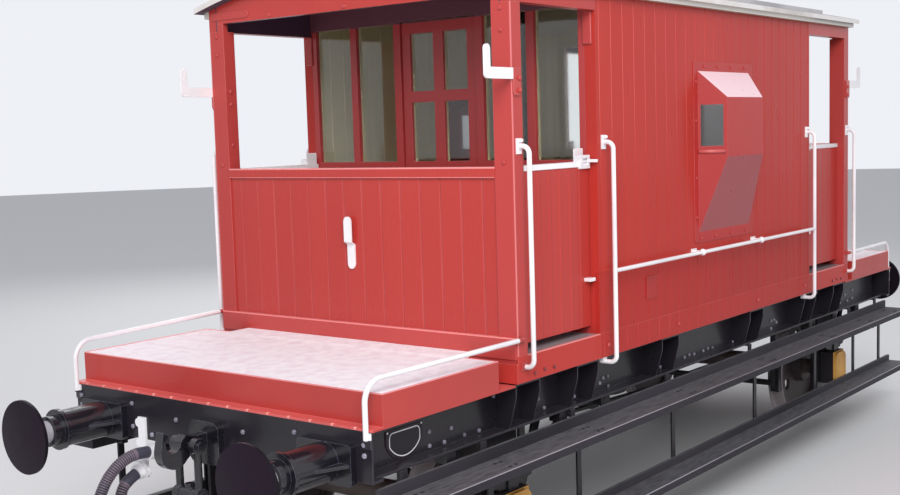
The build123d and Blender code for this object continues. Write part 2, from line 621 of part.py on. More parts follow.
def under_roof(inner, outer, low, sides=(-1, 1)):
    """Section across the van between two distances from its centre line, cut off under the roof."""
    with BuildSketch() as section:
        for side in sides:
            with Locations((side * (inner + outer) / 2, (low + ROOF_CROWN) / 2)):
                Rectangle(outer - inner, ROOF_CROWN - low)
        with Locations((0, ROOF_CENTRE)):
            Circle(UNDER_R, mode=Mode.INTERSECT)
    return section.sketch


# Side walls: vertical boards with V joints, from the curb rail to the roof, open behind the lookout
WALL_IN = BODY_Y - SIDE_WALL_T
LOOKOUT_X = 72
LOOKOUT_OPEN_HALF = 300
LOOKOUT_OPEN = (RAIL + 1985, RAIL + 2880)
with BuildPart() as side_walls:
    with BuildSketch(Plane.YZ.offset(-CABIN_X)):
        add(under_roof(WALL_IN, BODY_Y, CURB_TOP))
    extrude(amount=2 * CABIN_X)
    with BuildSketch(Plane.XY.offset(CURB_TOP)):
        for side in (-1, 1):
            add(seam_profile(side_seams, side * BODY_Y, -side))
            add(seam_profile(side_seams, side * WALL_IN, side))
    extrude(amount=ROOF_CROWN - CURB_TOP, mode=Mode.SUBTRACT)
    with Locations((LOOKOUT_X, 0, (LOOKOUT_OPEN[0] + LOOKOUT_OPEN[1]) / 2)):
        Box(2 * LOOKOUT_OPEN_HALF, 2 * BODY_Y + 10, LOOKOUT_OPEN[1] - LOOKOUT_OPEN[0], mode=Mode.SUBTRACT)
side_walls.part.label = "side_walls"
export_step(side_walls.part, "parts/side_walls.step")

# Lookouts: steel shells with sloped sides, riveted to the wall by a flange, a small window each way
LOOKOUT_BASE_HALF = 400
LOOKOUT_FACE_HALF = 283
LOOKOUT_OUT = 165
LOOKOUT_BASE_Z = (RAIL + 1880, RAIL + 2980)
LOOKOUT_FACE_Z = (RAIL + 2400, RAIL + 2797)
LOOKOUT_FLANGE = 56
SHELL_T = 5
SIGHT_Y = (BODY_Y + 18, BODY_Y + 142)
SIGHT_Z = (RAIL + 2474, RAIL + 2750)


def lookout_solid(side, thinner):
    """Frustum of the lookout, drawn in by the shell's thickness for its inside."""
    with BuildPart() as frustum:
        for depth, half, (low, high) in ((-1 if thinner else 0, LOOKOUT_BASE_HALF, LOOKOUT_BASE_Z),
                                         (LOOKOUT_OUT - thinner, LOOKOUT_FACE_HALF, LOOKOUT_FACE_Z)):
            with BuildSketch(Plane.XZ.offset(-side * (BODY_Y + depth))):
                with Locations((LOOKOUT_X, (low + high) / 2)):
                    Rectangle(2 * (half - thinner), high - low - 2 * thinner)
        loft(ruled=True)
    return frustum.part


with BuildPart() as lookouts:
    for side in (-1, 1):
        with BuildSketch(Plane.XZ.offset(-side * BODY_Y)):
            with Locations((LOOKOUT_X, (LOOKOUT_BASE_Z[0] + LOOKOUT_BASE_Z[1]) / 2)):
                Rectangle(2 * (LOOKOUT_BASE_HALF + LOOKOUT_FLANGE),
                          LOOKOUT_BASE_Z[1] - LOOKOUT_BASE_Z[0] + 2 * LOOKOUT_FLANGE)
        extrude(amount=-side * SHELL_T)
        add(lookout_solid(side, 0))
        add(lookout_solid(side, SHELL_T), mode=Mode.SUBTRACT)
        with Locations((LOOKOUT_X, side * (SIGHT_Y[0] + SIGHT_Y[1]) / 2, (SIGHT_Z[0] + SIGHT_Z[1]) / 2)):
            Box(2 * LOOKOUT_BASE_HALF + 60, SIGHT_Y[1] - SIGHT_Y[0], SIGHT_Z[1] - SIGHT_Z[0], mode=Mode.SUBTRACT)
lookouts.part.label = "lookouts"
export_step(lookouts.part, "parts/lookouts.step")

# Corner posts: on the curb rails, under the cantrails and the lintels, with pintles for the side doors
DOOR_GAP = 5
POST_IN_Y = BODY_Y - POST_Y
POST_IN_X = BODY_X - POST_X
SIDE_DOOR_T = 35
SIDE_DOOR_IN_Y = 1087
SIDE_DOOR_Z = (RAIL + 1440, RAIL + 2425)
PIN_R_HINGE = 4.5
KNUCKLE_R = 8
KNUCKLE_H = 44
HINGE_PLATE = 5
SIDE_HINGE_Z = (RAIL + 1600, RAIL + 2170)
SIDE_HINGE_X = POST_IN_X - KNUCKLE_R - 1
SIDE_HINGE_Y = SIDE_DOOR_IN_Y - KNUCKLE_R - 2
with BuildPart() as corner_posts:
    for end in (-1, 1):
        for side in (-1, 1):
            with Locations((end * (BODY_X - POST_X / 2), side * (BODY_Y - POST_Y / 2), (CURB_TOP + CANT_BOTTOM) / 2)):
                Box(POST_X, POST_Y, CANT_BOTTOM - CURB_TOP)
            with Locations((end * (BODY_X - LINTEL_T / 2), side * (POST_IN_Y + CURB_IN) / 2,
                            (CANT_BOTTOM + LINTEL_BOTTOM) / 2)):
                Box(LINTEL_T, CURB_IN - POST_IN_Y, LINTEL_BOTTOM - CANT_BOTTOM)
            for z in SIDE_HINGE_Z:
                with Locations((end * SIDE_HINGE_X, side * SIDE_HINGE_Y, z - KNUCKLE_H / 2)):
                    Cylinder(KNUCKLE_R, KNUCKLE_H)
                with Locations((end * (SIDE_HINGE_X + POST_IN_X) / 2, side * SIDE_HINGE_Y, z - KNUCKLE_H / 2)):
                    Box(POST_IN_X - SIDE_HINGE_X, KNUCKLE_R, KNUCKLE_H)
                with Locations((end * SIDE_HINGE_X, side * SIDE_HINGE_Y, z + KNUCKLE_H / 2)):
                    Cylinder(PIN_R_HINGE, KNUCKLE_H)
corner_posts.part.label = "corner_posts"
export_step(corner_posts.part, "parts/corner_posts.step")

# Side doors: half-height boarded doors, hung on the corner posts and opening inwards
LATCH_GAP = 7
SIDE_DOOR_X = (CABIN_X + LATCH_GAP, POST_IN_X - DOOR_GAP)
DOOR_RAIL_H = 32
DOOR_RAIL_T = 46
LEDGE_H = 100
LEDGE_T_DOOR = 18
LEDGE_STOP = 75
STRAP_LEN = 190
SIDE_DOOR_BOARDS = 7
for end, letter in ((-1, "a"), (1, "b")):
    for side, flank in ((-1, "near"), (1, "far")):
        door_w = SIDE_DOOR_X[1] - SIDE_DOOR_X[0]
        door_mid = end * (SIDE_DOOR_X[0] + SIDE_DOOR_X[1]) / 2
        pitch = door_w / SIDE_DOOR_BOARDS
        with BuildPart() as side_door:
            with Locations((door_mid, side * (SIDE_DOOR_IN_Y + SIDE_DOOR_T / 2),
                            (SIDE_DOOR_Z[0] + SIDE_DOOR_Z[1] - DOOR_RAIL_H) / 2)):
                Box(door_w, SIDE_DOOR_T, SIDE_DOOR_Z[1] - DOOR_RAIL_H - SIDE_DOOR_Z[0])
            joints = [door_mid + (index - SIDE_DOOR_BOARDS / 2) * pitch for index in range(1, SIDE_DOOR_BOARDS)]
            with BuildSketch(Plane.XY.offset(SIDE_DOOR_Z[0])):
                add(seam_profile(joints, side * (SIDE_DOOR_IN_Y + SIDE_DOOR_T), -side))
                add(seam_profile(joints, side * SIDE_DOOR_IN_Y, side))
            extrude(amount=SIDE_DOOR_Z[1] - SIDE_DOOR_Z[0], mode=Mode.SUBTRACT)
            with Locations((door_mid, side * (SIDE_DOOR_IN_Y + SIDE_DOOR_T / 2), SIDE_DOOR_Z[1] - DOOR_RAIL_H / 2)):
                Box(door_w, DOOR_RAIL_T, DOOR_RAIL_H)
            ledge_w = door_w - 2 * LEDGE_STOP
            for z in (SIDE_DOOR_Z[0] + LEDGE_H, SIDE_DOOR_Z[1] - LEDGE_H - DOOR_RAIL_H):
                with Locations((door_mid, side * (SIDE_DOOR_IN_Y - LEDGE_T_DOOR / 2), z)):
                    Box(ledge_w, LEDGE_T_DOOR, LEDGE_H)
            for z in SIDE_HINGE_Z:
                with Locations((end * (SIDE_HINGE_X - STRAP_LEN / 2), side * (SIDE_DOOR_IN_Y - HINGE_PLATE / 2),
                                z + KNUCKLE_H / 2 + 1)):
                    Box(STRAP_LEN, HINGE_PLATE, KNUCKLE_H - 4)
                with Locations((end * SIDE_HINGE_X, side * SIDE_HINGE_Y, z + KNUCKLE_H / 2 + 1)):
                    Cylinder(KNUCKLE_R, KNUCKLE_H - 4)
                with Locations((end * (SIDE_HINGE_X - KNUCKLE_R / 2), side * (SIDE_HINGE_Y + SIDE_DOOR_IN_Y) / 2,
                                z + KNUCKLE_H / 2 + 1)):
                    Box(KNUCKLE_R, SIDE_DOOR_IN_Y - SIDE_HINGE_Y, KNUCKLE_H - 4)
                with Locations((end * SIDE_HINGE_X, side * SIDE_HINGE_Y, z + KNUCKLE_H / 2 + 1)):
                    Cylinder(PIN_R_HINGE + FIT_GAP, KNUCKLE_H, mode=Mode.SUBTRACT)
        side_door.part.label = "side_door_" + letter + "_" + flank
        export_step(side_door.part, "parts/side_door_" + letter + "_" + flank + ".step")

# End panels: vertical boards between the corner posts, a flat board at the foot and a rail at the waist
END_BOARD_T = 25
END_FACE = 10
END_PITCH = 147.8
FOOT_BOARD_TOP = RAIL + 1497
WAIST_T = 50
WAIST_OUT = 6
FOOT_OUT = 12
FOOT_RAISE = 24
with BuildPart() as end_panels:
    for end in (-1, 1):
        board_out = BODY_X - END_FACE
        board_in = board_out - END_BOARD_T
        with Locations((end * (board_in + board_out) / 2, 0, (SILL_TOP + WAIST_TOP - WAIST_H) / 2)):
            Box(END_BOARD_T, 2 * POST_IN_Y, WAIST_TOP - WAIST_H - SILL_TOP)
        with BuildSketch(Plane.XY.offset(SILL_TOP)):
            for index in range(-7, 7):
                for face, inward in ((end * board_out, -end), (end * board_in, end)):
                    middle = (index + 0.5) * END_PITCH
                    with BuildLine():
                        Polyline((face, middle - SEAM_W / 2), (face, middle + SEAM_W / 2),
                                 (face + inward * SEAM_D, middle), close=True)
                    make_face()
        extrude(amount=WAIST_TOP - SILL_TOP, mode=Mode.SUBTRACT)
        with Locations((end * (board_out + BODY_X) / 2, 0, (SILL_TOP + FOOT_BOARD_TOP) / 2)):
            Box(END_FACE, 2 * POST_IN_Y, FOOT_BOARD_TOP - SILL_TOP)
        with Locations((end * (BODY_X + FOOT_OUT / 2), 0, (SILL_TOP + FOOT_RAISE + FOOT_BOARD_TOP) / 2)):
            Box(FOOT_OUT, 2 * BODY_Y - 16, FOOT_BOARD_TOP - SILL_TOP - FOOT_RAISE)
        with Locations((end * (BODY_X + WAIST_OUT - WAIST_T / 2), 0, WAIST_TOP - WAIST_H / 2)):
            Box(WAIST_T, 2 * POST_IN_Y, WAIST_H)
end_panels.part.label = "end_panels"
export_step(end_panels.part, "parts/end_panels.step")

# Lintels over the open ends and cantrails over the side doorways, cut to the roof's arc
with BuildPart() as lintels:
    for end in (-1, 1):
        with BuildSketch(Plane.YZ.offset(end * (BODY_X - LINTEL_T / 2))):
            add(under_roof(0, CURB_IN, LINTEL_BOTTOM))
        extrude(amount=LINTEL_T / 2, both=True)
lintels.part.label = "lintels"
export_step(lintels.part, "parts/lintels.step")

with BuildPart() as cantrails:
    for end in (-1, 1):
        with BuildSketch(Plane.YZ.offset(end * (BODY_X + CABIN_X) / 2)):
            add(under_roof(CURB_IN, BODY_Y, CANT_BOTTOM))
        extrude(amount=(BODY_X - CABIN_X) / 2, both=True)
cantrails.part.label = "cantrails"
export_step(cantrails.part, "parts/cantrails.step")

# Cabin end walls: boarded below, with a doorway and two tall windows each side of it
DOORWAY_HALF = 305
DOORWAY_TOP = RAIL + 3345
WINDOW_Y = ((362, 692), (748, 1064))
WINDOW_Z = (RAIL + 2433, RAIL + 3337)
WALL_PITCH = 145
WINDOW_RAIL_H = 28
CABIN_HINGE_Z = (RAIL + 1620, RAIL + 2380, RAIL + 3180)
wall_inner = CABIN_X - END_WALL_T
CABIN_HINGE_X = wall_inner - KNUCKLE_R - 1
CABIN_HINGE_Y = DOORWAY_HALF - DOOR_GAP / 2
for end, letter in ((-1, "a"), (1, "b")):
    with BuildPart() as cabin_end:
        with BuildSketch(Plane.YZ.offset(end * (CABIN_X - END_WALL_T / 2))):
            add(under_roof(0, WALL_IN, FLOOR_TOP))
            with Locations((0, (FLOOR_TOP + DOORWAY_TOP) / 2)):
                Rectangle(2 * DOORWAY_HALF, DOORWAY_TOP - FLOOR_TOP, mode=Mode.SUBTRACT)
            for low, high in WINDOW_Y:
                with Locations(*[(hand * (low + high) / 2, (WINDOW_Z[0] + WINDOW_Z[1]) / 2) for hand in (-1, 1)]):
                    Rectangle(high - low, WINDOW_Z[1] - WINDOW_Z[0], mode=Mode.SUBTRACT)
        extrude(amount=END_WALL_T / 2, both=True)
        with BuildSketch(Plane.XY.offset(FLOOR_TOP)):
            for index in range(5):
                for hand in (-1, 1):
                    for face, inward in ((end * CABIN_X, -end), (end * wall_inner, end)):
                        middle = hand * (DOORWAY_HALF + 90 + index * WALL_PITCH)
                        with BuildLine():
                            Polyline((face, middle - SEAM_W / 2), (face, middle + SEAM_W / 2),
                                     (face + inward * SEAM_D, middle), close=True)
                        make_face()
        extrude(amount=WINDOW_Z[0] - WINDOW_RAIL_H - FLOOR_TOP, mode=Mode.SUBTRACT)
        hinge_y = -end * CABIN_HINGE_Y
        for z in CABIN_HINGE_Z:
            with Locations((end * CABIN_HINGE_X, hinge_y, z - KNUCKLE_H / 2)):
                Cylinder(KNUCKLE_R, KNUCKLE_H)
            with Locations((end * CABIN_HINGE_X, hinge_y, z + KNUCKLE_H / 2)):
                Cylinder(PIN_R_HINGE, KNUCKLE_H)
            with Locations((end * (wall_inner - HINGE_PLATE / 2), hinge_y - end * 24, z - KNUCKLE_H / 2)):
                Box(HINGE_PLATE, 48, KNUCKLE_H)
    cabin_end.part.label = "cabin_end_" + letter
    export_step(cabin_end.part, "parts/cabin_end_" + letter + ".step")

# Cabin doors: a four-light upper half over a panelled lower half, opening inwards
CABIN_DOOR_T = 45
CABIN_DOOR_HALF = DOORWAY_HALF - DOOR_GAP
CABIN_DOOR_Z = (FLOOR_TOP + DOOR_GAP + 1, DOORWAY_TOP - DOOR_GAP)
PANE_Y = (40, 232)
PANE_Z = ((RAIL + 2433, RAIL + 2819), (RAIL + 2890, RAIL + 3264))
PANEL_Z = (RAIL + 1510, RAIL + 2330)
PANEL_SINK = 12
door_inner = wall_inner + 1
for end, letter in ((-1, "a"), (1, "b")):
    middle = end * (door_inner + CABIN_DOOR_T / 2)
    with BuildPart() as cabin_door:
        with Locations((middle, 0, (CABIN_DOOR_Z[0] + CABIN_DOOR_Z[1]) / 2)):
            Box(CABIN_DOOR_T, 2 * CABIN_DOOR_HALF, CABIN_DOOR_Z[1] - CABIN_DOOR_Z[0])
        for hand in (-1, 1):
            for low, high in PANE_Z:
                with Locations((middle, hand * (PANE_Y[0] + PANE_Y[1]) / 2, (low + high) / 2)):
                    Box(CABIN_DOOR_T + 2, PANE_Y[1] - PANE_Y[0], high - low, mode=Mode.SUBTRACT)
            for face in (door_inner, door_inner + CABIN_DOOR_T):
                with Locations((end * face, hand * (PANE_Y[0] + PANE_Y[1]) / 2, (PANEL_Z[0] + PANEL_Z[1]) / 2)):
                    Box(2 * PANEL_SINK, PANE_Y[1] - PANE_Y[0], PANEL_Z[1] - PANEL_Z[0], mode=Mode.SUBTRACT)
        hinge_y = -end * CABIN_HINGE_Y
        for z in CABIN_HINGE_Z:
            with Locations((end * (door_inner - HINGE_PLATE / 2), hinge_y + end * 30, z + KNUCKLE_H / 2 + 1)):
                Box(HINGE_PLATE, 60, KNUCKLE_H - 4)
            with Locations((end * CABIN_HINGE_X, hinge_y, z + KNUCKLE_H / 2 + 1)):
                Cylinder(KNUCKLE_R, KNUCKLE_H - 4)
            with Locations((end * CABIN_HINGE_X, hinge_y, z + KNUCKLE_H / 2 + 1)):
                Cylinder(PIN_R_HINGE + FIT_GAP, KNUCKLE_H, mode=Mode.SUBTRACT)
    cabin_door.part.label = "cabin_door_" + letter
    export_step(cabin_door.part, "parts/cabin_door_" + letter + ".step")

# Glass: panes in the cabin's end windows and in the sloped sides of the lookouts
GLASS_T = 5
SIGHT_GLASS = (1.2, 3.8)
slope = (LOOKOUT_BASE_HALF - LOOKOUT_FACE_HALF) / LOOKOUT_OUT
with BuildPart() as window_glass:
    for end in (-1, 1):
        for hand in (-1, 1):
            for low, high in WINDOW_Y:
                with Locations((end * (CABIN_X - END_WALL_T / 2), hand * (low + high) / 2,
                                (WINDOW_Z[0] + WINDOW_Z[1]) / 2)):
                    Box(GLASS_T, high - low - 2 * FIT_GAP, WINDOW_Z[1] - WINDOW_Z[0] - 2 * FIT_GAP)
    with BuildSketch(Plane.XY.offset(SIGHT_Z[0] + FIT_GAP)):
        for side in (-1, 1):
            for hand in (-1, 1):
                corners = []
                for y, inset in ((SIGHT_Y[0] + FIT_GAP, 0), (SIGHT_Y[1] - FIT_GAP, 0),
                                 (SIGHT_Y[1] - FIT_GAP, 1), (SIGHT_Y[0] + FIT_GAP, 1)):
                    reach = LOOKOUT_BASE_HALF - (y - BODY_Y) * slope - SIGHT_GLASS[inset]
                    corners.append((LOOKOUT_X + hand * reach, side * y))
                with BuildLine():
                    Polyline(*corners, close=True)
                make_face()
    extrude(amount=SIGHT_Z[1] - SIGHT_Z[0] - 2 * FIT_GAP)
window_glass.part.label = "window_glass"
export_step(window_glass.part, "parts/window_glass.step")

for end, letter in ((-1, "a"), (1, "b")):
    with BuildPart() as door_glass:
        for hand in (-1, 1):
            for low, high in PANE_Z:
                with Locations((end * (door_inner + CABIN_DOOR_T / 2), hand * (PANE_Y[0] + PANE_Y[1]) / 2,
                                (low + high) / 2)):
                    Box(GLASS_T, PANE_Y[1] - PANE_Y[0] - 2 * FIT_GAP, high - low - 2 * FIT_GAP)
    door_glass.part.label = "cabin_door_glass_" + letter
    export_step(door_glass.part, "parts/cabin_door_glass_" + letter + ".step")

# Roof: one arched sheet on boards, with a moulding under each eave and a gutter strip above each doorway side
CORNICE = (44, RAIL + 3390)
STRIP_Y = 1096
STRIP_W = 20
STRIP_RISE = 26
STRIP_HALF_LEN = 2100
with BuildPart() as roof:
    with BuildSketch(Plane.YZ.offset(-ROOF_X)):
        with Locations((0, ROOF_CROWN - ROOF_R / 8)):
            Rectangle(2 * ROOF_HALF, ROOF_R / 4)
        with Locations((0, ROOF_CENTRE)):
            Circle(ROOF_R, mode=Mode.INTERSECT)
            Circle(UNDER_R, mode=Mode.SUBTRACT)
    extrude(amount=2 * ROOF_X)
roof.part.label = "roof"
export_step(roof.part, "parts/roof.step")

with BuildPart() as cornices:
    with BuildSketch(Plane.YZ.offset(-BODY_X)):
        add(under_roof(BODY_Y, BODY_Y + CORNICE[0], CORNICE[1]))
    extrude(amount=2 * BODY_X)
cornices.part.label = "cornices"
export_step(cornices.part, "parts/cornices.step")

with BuildPart() as rain_strips:
    with BuildSketch(Plane.YZ.offset(-STRIP_HALF_LEN)):
        strip_foot = ROOF_CENTRE + math.sqrt(ROOF_R ** 2 - STRIP_Y ** 2)
        for side in (-1, 1):
            with Locations((side * STRIP_Y, strip_foot)):
                Rectangle(STRIP_W, 2 * STRIP_RISE)
        with Locations((0, ROOF_CENTRE)):
            Circle(ROOF_R, mode=Mode.SUBTRACT)
    extrude(amount=2 * STRIP_HALF_LEN)
rain_strips.part.label = "rain_strips"
export_step(rain_strips.part, "parts/rain_strips.step")

# Stove in the cabin on a hearth plate, its flue up to the roof, and the chimney above
STOVE_X = 200
STOVE_Y = 520
STOVE_R = 165
STOVE_TOP = FLOOR_TOP + 640
FLUE_R = 55
CHIMNEY_TOP = RAIL + 3800
COWL_R = 105
with BuildPart() as stove:
    with Locations((STOVE_X, STOVE_Y, FLOOR_TOP + 6)):
        Box(420, 420, 12)
    for dx in (-1, 1):
        for dy in (-1, 1):
            with Locations((STOVE_X + dx * 95, STOVE_Y + dy * 95, FLOOR_TOP + 60)):
                Cylinder(16, 110)
    with BuildSketch(Plane(origin=(STOVE_X, STOVE_Y, 0), x_dir=(1, 0, 0), z_dir=(0, -1, 0))):
        with BuildLine():
            Polyline((0, FLOOR_TOP + 100), (STOVE_R - 20, FLOOR_TOP + 100), (STOVE_R - 20, FLOOR_TOP + 190),
                     (STOVE_R, FLOOR_TOP + 200), (STOVE_R, FLOOR_TOP + 230), (STOVE_R - 20, FLOOR_TOP + 240),
                     (STOVE_R - 35, STOVE_TOP - 60), (STOVE_R, STOVE_TOP - 50), (STOVE_R, STOVE_TOP),
                     (0, STOVE_TOP), close=True)
        make_face()
    revolve(axis=Axis((STOVE_X, STOVE_Y, 0), (0, 0, 1)))
    with BuildSketch(Plane.XY.offset(STOVE_TOP - 1)):
        with Locations((STOVE_X, STOVE_Y)):
            Circle(FLUE_R)
    extrude(amount=ROOF_CROWN - STOVE_TOP)
    with BuildSketch(Plane.YZ.offset(STOVE_X - STOVE_R)):
        with Locations((STOVE_Y, ROOF_CROWN)):
            Rectangle(4 * FLUE_R, ROOF_CROWN - STOVE_TOP)
        with Locations((0, ROOF_CENTRE)):
            Circle(UNDER_R, mode=Mode.SUBTRACT)
    extrude(amount=2 * STOVE_R, mode=Mode.SUBTRACT)
    with Locations((STOVE_X - STOVE_R + 6, STOVE_Y, FLOOR_TOP + 330)):
        Box(50, 150, 130)
stove.part.label = "stove"
export_step(stove.part, "parts/stove.step")

with BuildPart() as chimney:
    with Locations((STOVE_X, STOVE_Y, CHIMNEY_TOP - 150)):
        Cylinder(FLUE_R + 12, 300)
    with Locations((STOVE_X, STOVE_Y, CHIMNEY_TOP - 34)):
        Cylinder(COWL_R, 12)
    with Locations((STOVE_X, STOVE_Y, ROOF_CROWN - 20)):
        Cone(FLUE_R + 70, FLUE_R + 12, 70)
    with BuildSketch(Plane.YZ.offset(STOVE_X - 2 * COWL_R)):
        with Locations((0, ROOF_CENTRE)):
            Circle(ROOF_R)
    extrude(amount=4 * COWL_R, mode=Mode.SUBTRACT)
    with BuildSketch(Plane.XY.offset(CHIMNEY_TOP)):
        with Locations((STOVE_X, STOVE_Y)):
            Circle(FLUE_R)
    extrude(amount=-120, mode=Mode.SUBTRACT)
chimney.part.label = "chimney"
export_step(chimney.part, "parts/chimney.step")

# Hand brake: a column on the cabin floor with a flat handwheel, its rod passing down through the floor
COLUMN_R = 48
WHEEL_Z = FLOOR_TOP + 900
HANDWHEEL_R = 190
RIM_TUBE = 14
SPOKE_R = 9
CRANK_TOP = RAIL + 690
with BuildPart() as brake_column:
    with BuildSketch(Plane(origin=(BRAKE_COLUMN_X, 0, 0), x_dir=(1, 0, 0), z_dir=(0, -1, 0))):
        with BuildLine():
            Polyline((0, FLOOR_TOP), (110, FLOOR_TOP), (110, FLOOR_TOP + 18), (COLUMN_R + 24, FLOOR_TOP + 30),
                     (COLUMN_R, FLOOR_TOP + 110), (COLUMN_R, WHEEL_Z - 170), (COLUMN_R + 26, WHEEL_Z - 150),
                     (COLUMN_R + 26, WHEEL_Z - 80), (COLUMN_R - 14, WHEEL_Z - 40), (30, WHEEL_Z - 30),
                     (30, WHEEL_Z + 20), (0, WHEEL_Z + 20), close=True)
        make_face()
    revolve(axis=Axis((BRAKE_COLUMN_X, 0, 0), (0, 0, 1)))
    with Locations((BRAKE_COLUMN_X, 0, WHEEL_Z)):
        Torus(HANDWHEEL_R, RIM_TUBE)
    for angle in (45, 135, 225, 315):
        spoke = Vector(math.cos(math.radians(angle)), math.sin(math.radians(angle)), 0)
        with BuildSketch(Plane(origin=Vector(BRAKE_COLUMN_X, 0, WHEEL_Z) + spoke * 10, z_dir=spoke)):
            Circle(SPOKE_R)
        extrude(amount=HANDWHEEL_R - 10)
    with Locations((BRAKE_COLUMN_X, 0, (CRANK_TOP + FLOOR_TOP) / 2)):
        Cylinder(BRAKE_ROD_R, FLOOR_TOP - CRANK_TOP)
    with Locations((BRAKE_COLUMN_X, 0, CRANK_TOP + 60)):
        Cylinder(34, 120)
brake_column.part.label = "brake_column"
export_step(brake_column.part, "parts/brake_column.step")

# Benches: boarded lockers along both cabin sides
BENCH_X = 900
BENCH_IN_Y = 720
BENCH_TOP = FLOOR_TOP + 430
BENCH_SEAT_T = 32
with BuildPart() as benches:
    for side in (-1, 1):
        with Locations((0, side * (BENCH_IN_Y + 25 + WALL_IN) / 2, (FLOOR_TOP + BENCH_TOP - BENCH_SEAT_T) / 2)):
            Box(2 * BENCH_X, WALL_IN - BENCH_IN_Y - 25, BENCH_TOP - BENCH_SEAT_T - FLOOR_TOP)
        with Locations((0, side * (BENCH_IN_Y + WALL_IN) / 2, BENCH_TOP - BENCH_SEAT_T / 2)):
            Box(2 * BENCH_X + 40, WALL_IN - BENCH_IN_Y, BENCH_SEAT_T)
benches.part.label = "benches"
export_step(benches.part, "parts/benches.step")


def bent_tube(points, tube_r, bends):
    """Round bar or pipe along straight runs joined by tangent arcs."""
    with BuildPart() as tube:
        with BuildLine() as route:
            if len(points) > 2:
                FilletPolyline(*points, radius=bends)
            else:
                Line(*points)
        with BuildSketch(Plane(origin=points[0], z_dir=Vector(*points[1]) - Vector(*points[0]))):
            Circle(tube_r)
        sweep(path=route.line)
    return tube.part


# Handrails: white round bar along the sides, bent in to the posts, with stanchions between
BAR_R = 14
BAR_Y = BODY_Y + 70
BAR_BEND = 42
BAR_TOP = RAIL + 2534
CORNER_BAR_X = 2435
CORNER_BAR_LOW = RAIL + 1334
CABIN_BAR_X = 1556
LONG_BAR_R = 13
LONG_BAR_Z = RAIL + 1770
STANCHION_X = (-403, 540)
EYE_T = 8
FOOT_PALM_T = 16
with BuildPart() as side_handrails:
    for side in (-1, 1):
        for end in (-1, 1):
            x = end * CORNER_BAR_X
            add(bent_tube([(x, side * (BODY_Y + 1), BAR_TOP), (x, side * BAR_Y, BAR_TOP),
                           (x, side * BAR_Y, CORNER_BAR_LOW), (x, side * (BODY_Y + 1), CORNER_BAR_LOW)],
                          BAR_R, BAR_BEND))
            for z, palm_h in ((BAR_TOP, 84), (CORNER_BAR_LOW, 44)):
                with Locations((x, side * (BODY_Y + EYE_T / 2), z)):
                    Box(46, EYE_T, palm_h)
            x = end * CABIN_BAR_X
            low = CURB_BOTTOM - FOOT_PALM_T + 2 - BAR_R
            add(bent_tube([(x, side * (BODY_Y + 1), BAR_TOP), (x, side * BAR_Y, BAR_TOP),
                           (x, side * BAR_Y, low), (x, side * (BODY_Y - 40), low)], BAR_R, BAR_BEND))
            with Locations((x, side * (BODY_Y + EYE_T / 2), BAR_TOP)):
                Box(46, EYE_T, 84)
            with Locations((x, side * (BODY_Y - 35), CURB_BOTTOM - FOOT_PALM_T / 2)):
                Box(46, 50, FOOT_PALM_T)
        add(bent_tube([(-CABIN_BAR_X, side * BAR_Y, LONG_BAR_Z), (CABIN_BAR_X, side * BAR_Y, LONG_BAR_Z)],
                      LONG_BAR_R, BAR_BEND))
        for x in [side * place * -1 for place in STANCHION_X]:
            with Locations((x, side * BAR_Y, LONG_BAR_Z)):
                Sphere(BAR_R + 9)
            with Locations(Location((x, side * (BODY_Y + BAR_Y) / 2, LONG_BAR_Z), (90, 0, 0))):
                Cylinder(12, BAR_Y - BODY_Y)
            with Locations((x, side * (BODY_Y + EYE_T / 2), LONG_BAR_Z)):
                Box(70, EYE_T, 44)
side_handrails.part.label = "side_handrails"
export_step(side_handrails.part, "parts/side_handrails.step")

# Rails beside the concrete deck: up from the headstock's face, then back to the corner post
DECK_BAR_X = HEADSTOCK_X + BAR_R
DECK_BAR_Y = 1128
DECK_BAR_LOW = RAIL + 1180
DECK_BAR_TOP = RAIL + 1470
POST_END_X = 2454
POST_END_Z = RAIL + 1488
with BuildPart() as tray_handrails:
    for end in (-1, 1):
        for side in (-1, 1):
            add(bent_tube([(end * DECK_BAR_X, side * DECK_BAR_Y, DECK_BAR_LOW),
                           (end * DECK_BAR_X, side * DECK_BAR_Y, DECK_BAR_TOP),
                           (end * POST_END_X, side * (BODY_Y + BAR_R + 4), POST_END_Z)], BAR_R, 110))
            with Locations((end * POST_END_X, side * (BODY_Y + EYE_T / 2), POST_END_Z)):
                Box(34, EYE_T, 36)
            with Locations((end * (HEADSTOCK_X + EYE_T / 2), side * DECK_BAR_Y, DECK_BAR_LOW)):
                Box(EYE_T, 44, 80)
tray_handrails.part.label = "tray_handrails"
export_step(tray_handrails.part, "parts/tray_handrails.step")

